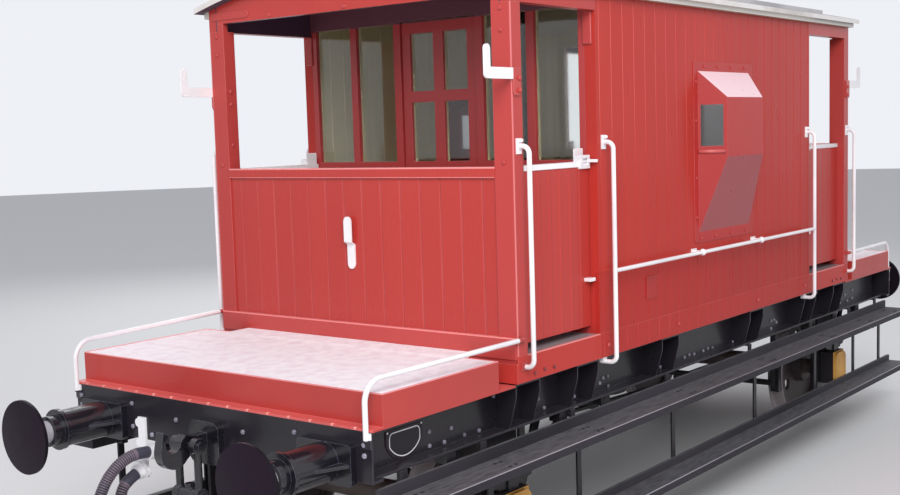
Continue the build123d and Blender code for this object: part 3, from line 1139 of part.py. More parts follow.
# Lamp irons: upright flat bars for lamps, one on each corner post and one on each end panel
IRON_W = 60
IRON_T = 12
IRON_UP_W = 50
IRON_INSET = 26
IRON_OUT_X = 2734
IRON_ARM_Z = RAIL + 2920
IRON_TIP_Z = RAIL + 3068
IRON_FOOT_Z = RAIL + 2805
TAIL_Y = 20
TAIL_Z = (RAIL + 1834, RAIL + 1966, RAIL + 2140)
TAIL_STANDOFF = 60
with BuildPart() as lamp_irons:
    for side in (-1, 1):
        for end in (-1, 1):
            with BuildSketch(Plane.XZ.offset(-side * BODY_Y)):
                with BuildLine():
                    Polyline((end * (IRON_OUT_X - IRON_UP_W), IRON_TIP_Z - IRON_UP_W / 2),
                             (end * (IRON_OUT_X - IRON_UP_W), IRON_ARM_Z + IRON_W / 2),
                             (end * (POST_IN_X + IRON_INSET), IRON_ARM_Z + IRON_W / 2),
                             (end * (POST_IN_X + IRON_INSET), IRON_FOOT_Z), (end * BODY_X, IRON_FOOT_Z),
                             (end * BODY_X, IRON_ARM_Z - IRON_W / 2),
                             (end * (IRON_OUT_X - IRON_UP_W / 2), IRON_ARM_Z - IRON_W / 2))
                    ThreePointArc((end * (IRON_OUT_X - IRON_UP_W / 2), IRON_ARM_Z - IRON_W / 2),
                                  (end * (IRON_OUT_X - 9), IRON_ARM_Z - 21), (end * IRON_OUT_X, IRON_ARM_Z))
                    Line((end * IRON_OUT_X, IRON_ARM_Z), (end * IRON_OUT_X, IRON_TIP_Z - IRON_UP_W / 2))
                    ThreePointArc((end * IRON_OUT_X, IRON_TIP_Z - IRON_UP_W / 2),
                                  (end * (IRON_OUT_X - IRON_UP_W / 2), IRON_TIP_Z),
                                  (end * (IRON_OUT_X - IRON_UP_W), IRON_TIP_Z - IRON_UP_W / 2))
                make_face()
            extrude(amount=-side * IRON_T)
    for end in (-1, 1):
        face = BODY_X - END_FACE
        with BuildSketch(Plane.XZ.offset(end * TAIL_Y + IRON_W / 2)):
            with BuildLine():
                Polyline((end * face, TAIL_Z[0]), (end * (face + IRON_T), TAIL_Z[0]),
                         (end * (face + IRON_T), TAIL_Z[1] - 40),
                         (end * (face + TAIL_STANDOFF + IRON_T), TAIL_Z[1] + 10),
                         (end * (face + TAIL_STANDOFF + IRON_T), TAIL_Z[2]),
                         (end * (face + TAIL_STANDOFF), TAIL_Z[2]),
                         (end * (face + TAIL_STANDOFF), TAIL_Z[1] + 16), (end * face, TAIL_Z[1] - 34), close=True)
            make_face()
        extrude(amount=-IRON_W)
lamp_irons.part.label = "lamp_irons"
export_step(lamp_irons.part, "parts/lamp_irons.step")

# Plates: a blank D-shaped number plate on one end of each solebar, a blank label clip on each side wall
NUMBER_X = -3259
NUMBER_HALF = 143
NUMBER_Z = (RAIL + 985, RAIL + 1154)
PLATE_T = 6
CLIP_X = (-1058, -906)
CLIP_Z = (RAIL + 1530, RAIL + 1674)
with BuildPart() as side_plates:
    for side in (-1, 1):
        turn = -side
        with BuildSketch(Plane.XZ.offset(-side * SOLE_WEB_Y)):
            with BuildLine():
                centre = turn * NUMBER_X
                shoulder = NUMBER_Z[1] - 70
                Polyline((centre - NUMBER_HALF, shoulder), (centre - NUMBER_HALF, NUMBER_Z[1]),
                         (centre + NUMBER_HALF, NUMBER_Z[1]), (centre + NUMBER_HALF, shoulder))
                ThreePointArc((centre + NUMBER_HALF, shoulder), (centre, NUMBER_Z[0]), (centre - NUMBER_HALF, shoulder))
            make_face()
        extrude(amount=-side * PLATE_T)
        with BuildSketch(Plane.XZ.offset(-side * BODY_Y)):
            with Locations((turn * (CLIP_X[0] + CLIP_X[1]) / 2, (CLIP_Z[0] + CLIP_Z[1]) / 2)):
                Rectangle(CLIP_X[1] - CLIP_X[0], CLIP_Z[1] - CLIP_Z[0])
        extrude(amount=-side * PLATE_T)
        with BuildSketch(Plane.XZ.offset(-side * (BODY_Y + PLATE_T))):
            with Locations((turn * (CLIP_X[0] + CLIP_X[1]) / 2, (CLIP_Z[0] + CLIP_Z[1]) / 2)):
                Rectangle(CLIP_X[1] - CLIP_X[0] - 28, CLIP_Z[1] - CLIP_Z[0] - 24)
        extrude(amount=side * PLATE_T / 2, mode=Mode.SUBTRACT)
side_plates.part.label = "side_plates"
export_step(side_plates.part, "parts/side_plates.step")

# Route of the vacuum hose at end a, above the rail, and the radius of each of its arcs
hose_route = [
    (-3719, 446, 924),
    (-3795, 446, 934),
    (-3890, 449, 912),
    (-3972, 455, 852),
    (-4022, 466, 770),
    (-4040, 481, 688),
    (-4030, 495, 612),
    (-3984, 509, 556),
    (-3918, 523, 546),
    (-3867, 537, 588),
    (-3850, 545, 650),
    (-3834, 549, 712),
    (-3790, 550, 762),
    (-3727, 549, 788),
]
hose_points = [Vector(x, y, z + RAIL) for x, y, z in hose_route]
hose_radii = []
for before, corner, after in zip(hose_points, hose_points[1:], hose_points[2:]):
    half_turn = math.radians((corner - before).get_angle(after - corner)) / 2
    hose_radii.append(0.45 * min((corner - before).length, (after - corner).length) / math.tan(half_turn))
print("hose radii", [round(radius) for radius in hose_radii])
hose_start = (hose_points[0] - hose_points[1]).normalized()
hose_stop = (hose_points[-1] - hose_points[-2]).normalized()

# Vacuum brake pipe under the frame, level from end to end, with a tilted collar for the hose at each end
PIPE_R = 30
PIPE_Z = RAIL + 924
PIPE_Y = 446
PIPE_END_X = 3695
PIPE_CROSS_X = (-1500, -760)
COLLAR_R = 43
COLLAR_L = 46
CLIP_W = 30
with BuildPart() as vacuum_pipes:
    add(bent_tube([(-PIPE_END_X, PIPE_Y, PIPE_Z), (PIPE_CROSS_X[0], PIPE_Y, PIPE_Z),
                   (PIPE_CROSS_X[1], -PIPE_Y, PIPE_Z), (PIPE_END_X, -PIPE_Y, PIPE_Z)], PIPE_R, 200))
    for end in (-1, 1):
        mouth = Plane(origin=(-end * hose_points[0].X, -end * hose_points[0].Y, hose_points[0].Z),
                      z_dir=(-end * hose_start.X, -end * hose_start.Y, hose_start.Z))
        with BuildSketch(mouth):
            Circle(COLLAR_R)
        extrude(amount=COLLAR_L)
    for web in cross_webs:
        side_y = PIPE_Y if web < PIPE_CROSS_X[0] else -PIPE_Y
        with Locations((web + CROSS_TOE / 2, side_y, (PIPE_Z + CROSS_BOTTOM) / 2)):
            Box(CLIP_W, PIPE_R, CROSS_BOTTOM - PIPE_Z)
        with Locations(Location((web + CROSS_TOE / 2, side_y, PIPE_Z), (0, 90, 0))):
            Cylinder(PIPE_R + 7, CLIP_W)
vacuum_pipes.part.label = "vacuum_pipes"
export_step(vacuum_pipes.part, "parts/vacuum_pipes.step")

# Hose couplings: a white bar bolted to the headstock, with two ears, and the dummy that holds the hose's end
HANGER_BAR_Y = 552
HANGER_BAR_T = 14
HANGER_BAR_HALF = 30
HANGER_BAR_Z = (RAIL + 820, RAIL + 1095)
EAR_Z = (RAIL + 1062, RAIL + 948)
DUMMY_R = 44
DUMMY_L = 66
DUMMY_FLANGE = 16
with BuildPart() as hose_couplings:
    for end in (-1, 1):
        bar_y = -end * HANGER_BAR_Y
        with Locations((end * (HEADSTOCK_X + HANGER_BAR_T / 2), bar_y, (HANGER_BAR_Z[0] + HANGER_BAR_Z[1]) / 2)):
            Box(HANGER_BAR_T, 2 * HANGER_BAR_HALF, HANGER_BAR_Z[1] - HANGER_BAR_Z[0])
        for z in EAR_Z:
            with BuildSketch(Plane.YZ.offset(end * HEADSTOCK_X)):
                with Locations((bar_y - end * HANGER_BAR_HALF, z)):
                    Circle(24)
            extrude(amount=end * HANGER_BAR_T)
        plug = Plane(origin=(-end * hose_points[-1].X, -end * hose_points[-1].Y, hose_points[-1].Z),
                     z_dir=(-end * hose_stop.X, -end * hose_stop.Y, hose_stop.Z))
        with BuildSketch(plug):
            Circle(DUMMY_R)
        extrude(amount=DUMMY_L)
        with BuildSketch(plug.offset(DUMMY_L / 2)):
            Circle(DUMMY_R + 14)
            with GridLocations(0, 2 * DUMMY_R, 1, 2):
                RectangleRounded(44, 60, 10)
        extrude(amount=DUMMY_FLANGE)
hose_couplings.part.label = "hose_couplings"
export_step(hose_couplings.part, "parts/hose_couplings.step")

# Vacuum hoses: out of the pipe, down in a tight loop and back up into the dummy
HOSE_R = 32.5
for end, letter in ((-1, "a"), (1, "b")):
    points = [Vector(-end * place.X, -end * place.Y, place.Z) for place in hose_points]
    with BuildPart() as vacuum_hose:
        add(bent_tube(points, HOSE_R, hose_radii))
    with BuildLine() as hose_line:
        FilletPolyline(*points, radius=hose_radii)
    hose_length = hose_line.wires()[0].length
    print("hose length", round(hose_length), "volume over section times length",
          round(vacuum_hose.part.volume / (math.pi * HOSE_R ** 2 * hose_length), 4))
    vacuum_hose.part.label = "vacuum_hose_" + letter
    export_step(vacuum_hose.part, "parts/vacuum_hose_" + letter + ".step")

# Brake blocks: a cast block each side of every wheel, on a flat hanger from a cross member
BLOCK_GAP = 6
BLOCK_T = 50
BLOCK_HALF_ANGLE = 17
BLOCK_Y = (728, 800)
BRAKE_HANGER_W = 56
BRAKE_HANGER_T = 22
BRAKE_FOOT_H = 40
block_in = TREAD_R + BLOCK_GAP
block_out = block_in + BLOCK_T
beam_places = []
with BuildPart() as brake_blocks:
    for axle in (-AXLE_X, AXLE_X):
        for toward in (-1, 1):
            back = axle + toward * block_out
            beam_places.append((back + toward * BRAKE_HANGER_W / 2, toward * (1 if axle > 0 else -1)))
            web = min(cross_webs, key=lambda place: abs(place - back))
            foot_low = min(web + 10, back, back + toward * BRAKE_HANGER_W)
            foot_high = max(web + CROSS_TOE - 10, back, back + toward * BRAKE_HANGER_W)
            for side in (-1, 1):
                low = side * BLOCK_Y[0] if side > 0 else side * BLOCK_Y[1]
                with BuildSketch(Plane.XZ.offset(-low)):
                    with Locations((axle + toward * (block_in + BLOCK_T / 2 - 10), AXLE_Z)):
                        Rectangle(BLOCK_T + 20, 2 * block_in * math.sin(math.radians(BLOCK_HALF_ANGLE)))
                    with Locations((axle, AXLE_Z)):
                        Circle(block_in, mode=Mode.SUBTRACT)
                extrude(amount=-(BLOCK_Y[1] - BLOCK_Y[0]))
                middle = side * (BLOCK_Y[0] + BLOCK_Y[1]) / 2
                with Locations((back + toward * BRAKE_HANGER_W / 2, middle, (AXLE_Z - 90 + CROSS_BOTTOM) / 2)):
                    Box(BRAKE_HANGER_W, BRAKE_HANGER_T, CROSS_BOTTOM - AXLE_Z + 90)
                with Locations(((foot_low + foot_high) / 2, middle, CROSS_BOTTOM - BRAKE_FOOT_H / 2)):
                    Box(foot_high - foot_low, BRAKE_HANGER_T + 40, BRAKE_FOOT_H)
brake_blocks.part.label = "brake_blocks"
export_step(brake_blocks.part, "parts/brake_blocks.step")

# Vacuum cylinder: hung on trunnions from the longitudinals, its piston rod pointing down
CYLINDER_X = 330
CYLINDER_Y = 60
CYLINDER_R = 250
CYLINDER_Z = (RAIL + 560, RAIL + 1000)
TRUNNION_Z = RAIL + 820
TRUNNION_R = 32
SHAFT_X = -220
SHAFT_Z = RAIL + 620
SHAFT_R = 34
PISTON_FOOT = RAIL + 470
with BuildPart() as brake_cylinder:
    with BuildSketch(Plane(origin=(CYLINDER_X, CYLINDER_Y, 0), x_dir=(1, 0, 0), z_dir=(0, -1, 0))):
        with BuildLine():
            Polyline((0, CYLINDER_Z[0] - 24), (60, CYLINDER_Z[0] - 24), (70, CYLINDER_Z[0]),
                     (CYLINDER_R, CYLINDER_Z[0]), (CYLINDER_R, CYLINDER_Z[0] + 30),
                     (CYLINDER_R - 22, CYLINDER_Z[0] + 30), (CYLINDER_R - 22, CYLINDER_Z[1] - 90))
            ThreePointArc((CYLINDER_R - 22, CYLINDER_Z[1] - 90), (CYLINDER_R - 70, CYLINDER_Z[1] - 24),
                          (CYLINDER_R - 150, CYLINDER_Z[1]))
            Polyline((CYLINDER_R - 150, CYLINDER_Z[1]), (0, CYLINDER_Z[1]), (0, CYLINDER_Z[0] - 24))
        make_face()
    revolve(axis=Axis((CYLINDER_X, CYLINDER_Y, 0), (0, 0, 1)))
    with Locations((CYLINDER_X, CYLINDER_Y, (PISTON_FOOT + CYLINDER_Z[0]) / 2)):
        Cylinder(20, CYLINDER_Z[0] - PISTON_FOOT)
    with Locations((CYLINDER_X, CYLINDER_Y, PISTON_FOOT + 25)):
        Cylinder(34, 50)
    for side in (-1, 1):
        plate_y = side * (LONG_Y + LONG_TOE / 2)
        with Locations(Location((CYLINDER_X, (CYLINDER_Y + plate_y) / 2, TRUNNION_Z), (90, 0, 0))):
            Cylinder(TRUNNION_R, abs(plate_y - CYLINDER_Y))
        with BuildSketch(Plane.XZ.offset(-plate_y + 8)):
            with BuildLine():
                Polyline((CYLINDER_X - 110, CROSS_BOTTOM + FLANGE_T), (CYLINDER_X + 110, CROSS_BOTTOM + FLANGE_T),
                         (CYLINDER_X + 55, TRUNNION_Z - 55), (CYLINDER_X - 55, TRUNNION_Z - 55), close=True)
            make_face()
        extrude(amount=-16)
brake_cylinder.part.label = "brake_cylinder"
export_step(brake_cylinder.part, "parts/brake_cylinder.step")

# Brake rigging: beams between the hangers, straps under the axles, a cross shaft with its arms and rods
BEAM_R = 25
BEAM_Z = AXLE_Z - 60
STRAP_Y = 150
STRAP_Z = (RAIL + 342, RAIL + 384)
STRAP_T = 14
ROD_R = 18
ROD_Y = -60
ARM_T = 24
ARM_REACH = 115
SHAFT_HALF = 372
CRANK_X = -595
CRANK_DROP = 190
CHEEK_T = 10
beam_half = (BLOCK_Y[0] + BLOCK_Y[1]) / 2 - BRAKE_HANGER_T / 2
with BuildPart() as brake_rigging:
    for x, outer in beam_places:
        with Locations(Location((x, 0, BEAM_Z), (90, 0, 0))):
            Cylinder(BEAM_R, 2 * beam_half)
        for side in (-1, 1):
            with Locations((x, side * STRAP_Y, (BEAM_Z + STRAP_Z[0]) / 2)):
                Box(50, STRAP_T + 20, BEAM_Z - STRAP_Z[0])
    for axle in (-AXLE_X, AXLE_X):
        for side in (-1, 1):
            with Locations((axle, side * STRAP_Y, (STRAP_Z[0] + STRAP_Z[1]) / 2)):
                Box(2 * (block_out + BRAKE_HANGER_W / 2), STRAP_T, STRAP_Z[1] - STRAP_Z[0])
    with Locations(Location((SHAFT_X, 0, SHAFT_Z), (90, 0, 0))):
        Cylinder(SHAFT_R, 2 * SHAFT_HALF)
    for side in (-1, 1):
        with BuildSketch(Plane.XZ.offset(-side * (LONG_Y + LONG_TOE / 2) + 8)):
            with BuildLine():
                Polyline((SHAFT_X - 100, CROSS_BOTTOM + FLANGE_T), (SHAFT_X + 100, CROSS_BOTTOM + FLANGE_T),
                         (SHAFT_X + 55, SHAFT_Z - 55), (SHAFT_X - 55, SHAFT_Z - 55), close=True)
            make_face()
        extrude(amount=-16)
    with Locations((SHAFT_X, ROD_Y, SHAFT_Z)):
        Box(70, ARM_T, 2 * ARM_REACH + 60)
    for end in (-1, 1):
        beam_x = end * (AXLE_X - block_out - BRAKE_HANGER_W / 2)
        start = Vector(SHAFT_X, ROD_Y, SHAFT_Z - end * ARM_REACH)
        stop = Vector(beam_x, ROD_Y, BEAM_Z)
        with BuildSketch(Plane(origin=start, z_dir=stop - start)):
            Circle(ROD_R)
        extrude(amount=(stop - start).length)
    with BuildSketch(Plane.XZ.offset(-CYLINDER_Y + ARM_T / 2)):
        with BuildLine():
            Polyline((SHAFT_X - 45, SHAFT_Z + 40), (SHAFT_X + 45, SHAFT_Z - 10),
                     (CYLINDER_X - 45, PISTON_FOOT - FIT_GAP), (CYLINDER_X + 45, PISTON_FOOT - FIT_GAP),
                     (CYLINDER_X + 45, PISTON_FOOT - 60),
                     (CYLINDER_X - 45, PISTON_FOOT - 60), (SHAFT_X - 45, SHAFT_Z - 45), close=True)
        make_face()
    extrude(amount=-ARM_T)
    crank_low = CRANK_TOP - CRANK_DROP
    with BuildSketch(Plane.XZ.offset(ARM_T / 2)):
        with BuildLine():
            Polyline((BRAKE_COLUMN_X - 40, CRANK_TOP - FIT_GAP), (BRAKE_COLUMN_X + 40, CRANK_TOP - FIT_GAP),
                     (CRANK_X + 30, CRANK_TOP - 40), (CRANK_X + 30, crank_low), (CRANK_X - 30, crank_low),
                     (CRANK_X - 40, CRANK_TOP - 80), (BRAKE_COLUMN_X - 40, CRANK_TOP - 50), close=True)
        make_face()
    extrude(amount=-ARM_T)
    for side in (-1, 1):
        with Locations((CRANK_X, side * (ARM_T / 2 + CHEEK_T / 2), (CRANK_TOP - 100 + CROSS_BOTTOM) / 2)):
            Box(80, CHEEK_T, CROSS_BOTTOM - CRANK_TOP + 100)
    with Locations((SHAFT_X, 0, (SHAFT_Z + crank_low) / 2)):
        Box(60, ARM_T, SHAFT_Z - crank_low)
    with BuildSketch(Plane.YZ.offset(CRANK_X)):
        with Locations((0, crank_low + 20)):
            Circle(ROD_R)
    extrude(amount=SHAFT_X - CRANK_X)
brake_rigging.part.label = "brake_rigging"
export_step(brake_rigging.part, "parts/brake_rigging.step")
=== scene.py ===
import bpy
import bmesh
import math
from mathutils import Matrix, Vector
from mathutils.bvhtree import BVHTree


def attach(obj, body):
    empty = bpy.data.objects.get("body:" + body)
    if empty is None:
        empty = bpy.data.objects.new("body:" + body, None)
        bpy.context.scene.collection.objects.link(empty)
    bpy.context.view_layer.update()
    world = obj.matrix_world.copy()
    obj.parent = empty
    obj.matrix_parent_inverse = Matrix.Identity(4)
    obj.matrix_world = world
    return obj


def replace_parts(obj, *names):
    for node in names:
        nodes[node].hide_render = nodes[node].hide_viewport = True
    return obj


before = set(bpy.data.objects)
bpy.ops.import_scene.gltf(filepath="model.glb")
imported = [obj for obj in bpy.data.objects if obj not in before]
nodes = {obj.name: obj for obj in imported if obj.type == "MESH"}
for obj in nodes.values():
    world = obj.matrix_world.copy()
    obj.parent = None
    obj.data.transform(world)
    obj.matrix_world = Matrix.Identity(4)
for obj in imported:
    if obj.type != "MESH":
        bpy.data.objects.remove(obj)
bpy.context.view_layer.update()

# Viewpoint
# The eye stands ahead of end a, on the near side, about level with the lookouts' sight windows.
# Its place, heading and lens were solved from the van's own known sizes.
EYE = Vector((-7.873, -4.953, 2.652))
HEADING, TILT, ROLL = (math.radians(angle) for angle in (38.06, -5.87, -1.73))
LENS, LENS_SHIFT, SIGHT_END = 49.1, 0.0112, 200
camera_data = bpy.data.cameras.new("viewpoint")
camera_data.lens = LENS
camera_data.shift_y = LENS_SHIFT
camera_data.clip_end = SIGHT_END
camera = bpy.data.objects.new("viewpoint", camera_data)
look = Vector((math.cos(TILT) * math.cos(HEADING), math.cos(TILT) * math.sin(HEADING), math.sin(TILT)))
level = Vector((math.sin(HEADING), -math.cos(HEADING), 0))
across = level * math.cos(ROLL) + level.cross(look) * math.sin(ROLL)
stance = Matrix((across, across.cross(look), -look)).transposed()
camera.matrix_world = Matrix.Translation(EYE) @ stance.to_4x4()
bpy.context.collection.objects.link(camera)
bpy.context.scene.camera = camera

# Floor, backdrop and light
# A plain pale floor that runs on to a pale background, one broad soft lamp from ahead of the near corner
# and a weaker one from behind the far end, over an even sky.
SKY_COLOUR, SKY_LIGHT, SKY_SEEN = (0.93, 0.95, 1.0, 1), 0.5, 0.92
LAMPS = (("broad_lamp", Vector((-11.5, -9, 10)), 9, 2150), ("far_lamp", Vector((8, 9, 9)), 8, 480))
LAMP_TARGET = Vector((-1, 0, 1.2))
FLOOR_R, FLOOR_SIDES, FLOOR_Z, FLOOR_COLOUR, FLOOR_ROUGH = 60, 64, -0.002, (0.78, 0.78, 0.79, 1), 0.9


def sums(tree, operation, *values):
    """One step of arithmetic on numbers and on what other steps give."""
    step = tree.nodes.new("ShaderNodeMath")
    step.operation = operation
    for socket, value in zip(step.inputs, values):
        if isinstance(value, (int, float)):
            socket.default_value = value
        else:
            tree.links.new(value, socket)
    return step.outputs[0]


def ramp(tree, value, low, high, out_low=0.0, out_high=1.0):
    """A value brought from one range to another and held at its ends."""
    step = tree.nodes.new("ShaderNodeMapRange")
    for socket, number in (("From Min", low), ("From Max", high), ("To Min", out_low), ("To Max", out_high)):
        step.inputs[socket].default_value = number
    tree.links.new(value, step.inputs["Value"])
    return step.outputs["Result"]


bpy.context.scene.view_settings.view_transform = "Standard"
sky = bpy.data.worlds.new("even_sky")
bpy.context.scene.world = sky
sky.use_nodes = True
backdrop = sky.node_tree.nodes["Background"]
backdrop.inputs["Color"].default_value = SKY_COLOUR
rays = sky.node_tree.nodes.new("ShaderNodeLightPath")
seen = sums(sky.node_tree, "MAXIMUM", rays.outputs["Is Camera Ray"], rays.outputs["Is Glossy Ray"])
seen = sums(sky.node_tree, "MAXIMUM", seen, rays.outputs["Is Transmission Ray"])
sky.node_tree.links.new(ramp(sky.node_tree, seen, 0, 1, SKY_LIGHT, SKY_SEEN), backdrop.inputs["Strength"])

for name, place, spread, watts in LAMPS:
    lamp_data = bpy.data.lights.new(name, "AREA")
    lamp_data.shape = "SQUARE"
    lamp_data.size = spread
    lamp_data.energy = watts
    lamp = bpy.data.objects.new(name, lamp_data)
    lamp.location = place
    lamp.rotation_euler = (LAMP_TARGET - place).to_track_quat("-Z", "Y").to_euler()
    bpy.context.collection.objects.link(lamp)

bpy.ops.mesh.primitive_circle_add(vertices=FLOOR_SIDES, radius=FLOOR_R, fill_type="NGON",
                                  location=(0, 0, FLOOR_Z))
floor = bpy.context.object
floor.name = "floor"
pale = bpy.data.materials.new("pale_floor")
pale.use_nodes = True
pale.node_tree.nodes["Principled BSDF"].inputs["Base Color"].default_value = FLOOR_COLOUR
pale.node_tree.nodes["Principled BSDF"].inputs["Roughness"].default_value = FLOOR_ROUGH
floor.data.materials.append(pale)

# Vacuum hoses
# Ribbed grey rubber hose over a steel spiral, clipped on the train pipe's collar at one end. It hangs in
# a tight loop and its other end is pushed on the dummy below the headstock.
HOSE_D, HOSE_LENGTH, HOSE_SIDES = 0.065, 0.98, 28
HOSE_ROUTE = [
    (-3.719, 0.446, 0.952), (-3.795, 0.446, 0.962), (-3.890, 0.449, 0.940), (-3.972, 0.455, 0.880),
    (-4.022, 0.466, 0.798), (-4.040, 0.481, 0.716), (-4.030, 0.495, 0.640), (-3.984, 0.509, 0.584),
    (-3.918, 0.523, 0.574), (-3.867, 0.537, 0.616), (-3.850, 0.545, 0.678), (-3.834, 0.549, 0.740),
    (-3.790, 0.550, 0.790), (-3.727, 0.549, 0.816),
]
RIB_PITCH, RIB_DEPTH, RIB_STEPS, GROOVE_SHARE = 0.0125, 0.0042, 6, 0.55
HOSE_CUFF, CUFF_FADE = 0.085, 0.02
ROUTE_ORDER, ROUTE_STEPS = 3, 16
# The finishes read the wheelsets' axes and a limit beyond the van. The rest says how patches, boards, dust,
# painted edge highlights, gloss and bumps are laid on.
AXLE_X, AXLE_Z, FAR = 2.4384, 0.50425, 9.0
PATCH_SPREAD, PATCH_RANGE, BOARD_SHARE = 18, (0.42, 0.68), 0.55
DUST_FACING, DUST_GRAIN = (0.35, 0.95), (0.3, 0.6, 0.35, 1)
PAINTED_EDGE_SAMPLES, PAINTED_EDGE_TURN, PAINTED_EDGE_GRAIN = 4, (0.985, 0.86), (0.35, 0.6, 0.25, 0.9)
GLOSS_SPREAD, BUMP_DEPTH, COAT_ROUGH = (-0.06, 0.1), 0.002, 0.12


def linear(*tone):
    """A colour written in 0 to 255 as seen, turned into the light values that a shader takes."""
    return (*(((c / 255 + 0.055) / 1.055) ** 2.4 if c > 10 else c / 3294.6 for c in tone), 1)


def over(tree, under, top, share):
    """One tone laid over another by a share. Each is a colour or what another step gives."""
    # A mix node's inputs 6 and 7 and its output 2 are those for colours.
    mix = tree.nodes.new("ShaderNodeMix")
    mix.data_type = "RGBA"
    for socket, value in ((mix.inputs[6], under), (mix.inputs[7], top)):
        if isinstance(value, tuple):
            socket.default_value = linear(*value)
        else:
            tree.links.new(value, socket)
    tree.links.new(share, mix.inputs["Factor"])
    return mix.outputs[2]


def noise(tree, scale, detail=2, place=None):
    """Even cloudy noise."""
    texture = tree.nodes.new("ShaderNodeTexNoise")
    texture.inputs["Scale"].default_value = scale
    texture.inputs["Detail"].default_value = detail
    if place:
        tree.links.new(place, texture.inputs["Vector"])
    return texture.outputs["Fac"]


def finish(name, colour, shade, rough, speck, grain=(1, 1, 1), bump=0.0, coat=0.0, shine=0.3, zones=(),
           boards=None, dust=None, edge=None):
    """A painted or bare surface: two tones in slow patches, uneven gloss and a faint bump.

    zones are parts in other tones: colour, shade and the limits of one or more readings. A reading is a place
    in metres (x, y, z, |x|, |y|), the radius round the wheelsets' axes (axle), or how far the surface faces
    up (up) or along the van (along). A limit of FAR leaves that side open. boards is the axis, pitch and
    start of a row of boards, the tone and width of the lines between them, and the tone those lines take on
    high up as a painted highlight, with the heights between which it comes in. dust is a tone that lies on
    what faces up, with its share, and edge a tone laid along the edges where the bevel turns the normal,
    broken up by noise, with their radius: on most finishes a painted highlight."""
    made = bpy.data.materials.new(name)
    made.use_nodes = True
    tree = made.node_tree
    shader = tree.nodes["Principled BSDF"]
    place = tree.nodes.new("ShaderNodeTexCoord")
    parts = tree.nodes.new("ShaderNodeSeparateXYZ")
    tree.links.new(place.outputs["Object"], parts.inputs[0])
    stretch = tree.nodes.new("ShaderNodeMapping")
    stretch.inputs["Scale"].default_value = grain
    tree.links.new(place.outputs["Object"], stretch.inputs["Vector"])
    facing = tree.nodes.new("ShaderNodeNewGeometry")
    turned = tree.nodes.new("ShaderNodeSeparateXYZ")
    tree.links.new(facing.outputs["Normal"], turned.inputs[0])

    x, y, z = parts.outputs
    along_x, _, up = turned.outputs
    from_axle = sums(tree, "SUBTRACT", sums(tree, "ABSOLUTE", x), AXLE_X)
    from_level = sums(tree, "SUBTRACT", z, AXLE_Z)
    squares = sums(tree, "ADD", sums(tree, "POWER", from_axle, 2.0), sums(tree, "POWER", from_level, 2.0))
    reading = {"x": x, "y": y, "z": z, "|x|": sums(tree, "ABSOLUTE", x), "|y|": sums(tree, "ABSOLUTE", y),
               "axle": sums(tree, "POWER", squares, 0.5), "up": up, "along": sums(tree, "ABSOLUTE", along_x)}

    slow = noise(tree, speck / PATCH_SPREAD, 4, stretch.outputs["Vector"])
    fine = noise(tree, speck, 5, stretch.outputs["Vector"])
    patch = ramp(tree, slow, *PATCH_RANGE)
    tone = over(tree, colour, shade, patch)
    if boards:
        axis, pitch, first, joint, width = boards[:5]
        along = sums(tree, "SUBTRACT", reading[axis], first)
        number = tree.nodes.new("ShaderNodeTexWhiteNoise")
        number.noise_dimensions = "1D"
        tree.links.new(sums(tree, "FLOOR", sums(tree, "DIVIDE", along, pitch)), number.inputs["W"])
        tone = over(tree, tone, shade, ramp(tree, number.outputs["Value"], 0, 1, 0, BOARD_SHARE))
        if boards[5:]:
            joint = over(tree, joint, boards[5], ramp(tree, z, *boards[6]))
        to_joint = sums(tree, "PINGPONG", along, pitch / 2)
        tone = over(tree, tone, joint, sums(tree, "LESS_THAN", to_joint, width / 2))
    if dust:
        lying = ramp(tree, up, *DUST_FACING, 0, dust[1])
        tone = over(tree, tone, dust[0], sums(tree, "MULTIPLY", lying, ramp(tree, fine, *DUST_GRAIN)))
    for zone_colour, zone_shade, limits in zones:
        share = None
        for axis, (low, high) in limits.items():
            within = sums(tree, "COMPARE", reading[axis], (low + high) / 2, (high - low) / 2)
            share = within if share is None else sums(tree, "MULTIPLY", share, within)
        tone = over(tree, tone, over(tree, zone_colour, zone_shade, patch), share)
    normal = None
    # A tone laid along the edges where the bevel turns the normal: on most finishes a painted highlight.
    if edge:
        rounded = tree.nodes.new("ShaderNodeBevel")
        rounded.samples = PAINTED_EDGE_SAMPLES
        rounded.inputs["Radius"].default_value = edge[1]
        likeness = tree.nodes.new("ShaderNodeVectorMath")
        likeness.operation = "DOT_PRODUCT"
        tree.links.new(rounded.outputs["Normal"], likeness.inputs[0])
        tree.links.new(facing.outputs["Normal"], likeness.inputs[1])
        painted_edge_share = ramp(tree, likeness.outputs["Value"], *PAINTED_EDGE_TURN)
        tone = over(tree, tone, edge[0], sums(tree, "MULTIPLY", painted_edge_share, ramp(tree, fine, *PAINTED_EDGE_GRAIN)))
        normal = rounded.outputs["Normal"]
    tree.links.new(tone, shader.inputs["Base Color"])
    gloss = ramp(tree, fine, 0, 1, rough + GLOSS_SPREAD[0], rough + GLOSS_SPREAD[1])
    tree.links.new(gloss, shader.inputs["Roughness"])
    if bump:
        relief = tree.nodes.new("ShaderNodeBump")
        relief.inputs["Strength"].default_value = bump
        relief.inputs["Distance"].default_value = BUMP_DEPTH
        tree.links.new(fine, relief.inputs["Height"])
        if normal:
            tree.links.new(normal, relief.inputs["Normal"])
        normal = relief.outputs["Normal"]
    if normal:
        tree.links.new(normal, shader.inputs["Normal"])
    shader.inputs["Coat Weight"].default_value = coat
    shader.inputs["Coat Roughness"].default_value = COAT_ROUGH
    shader.inputs["Specular IOR Level"].default_value = shine
    return made


def place_piece(name, made, material, body="van"):
    """A piece made in the van's own frame: its faces turn outwards, and it gets its finish and its body."""
    bmesh.ops.recalc_face_normals(made, faces=made.faces)
    mesh = bpy.data.meshes.new(name)
    made.to_mesh(mesh)
    made.free()
    mesh.materials.append(material)
    piece = bpy.data.objects.new(name, mesh)
    bpy.context.collection.objects.link(piece)
    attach(piece, body)
    return piece


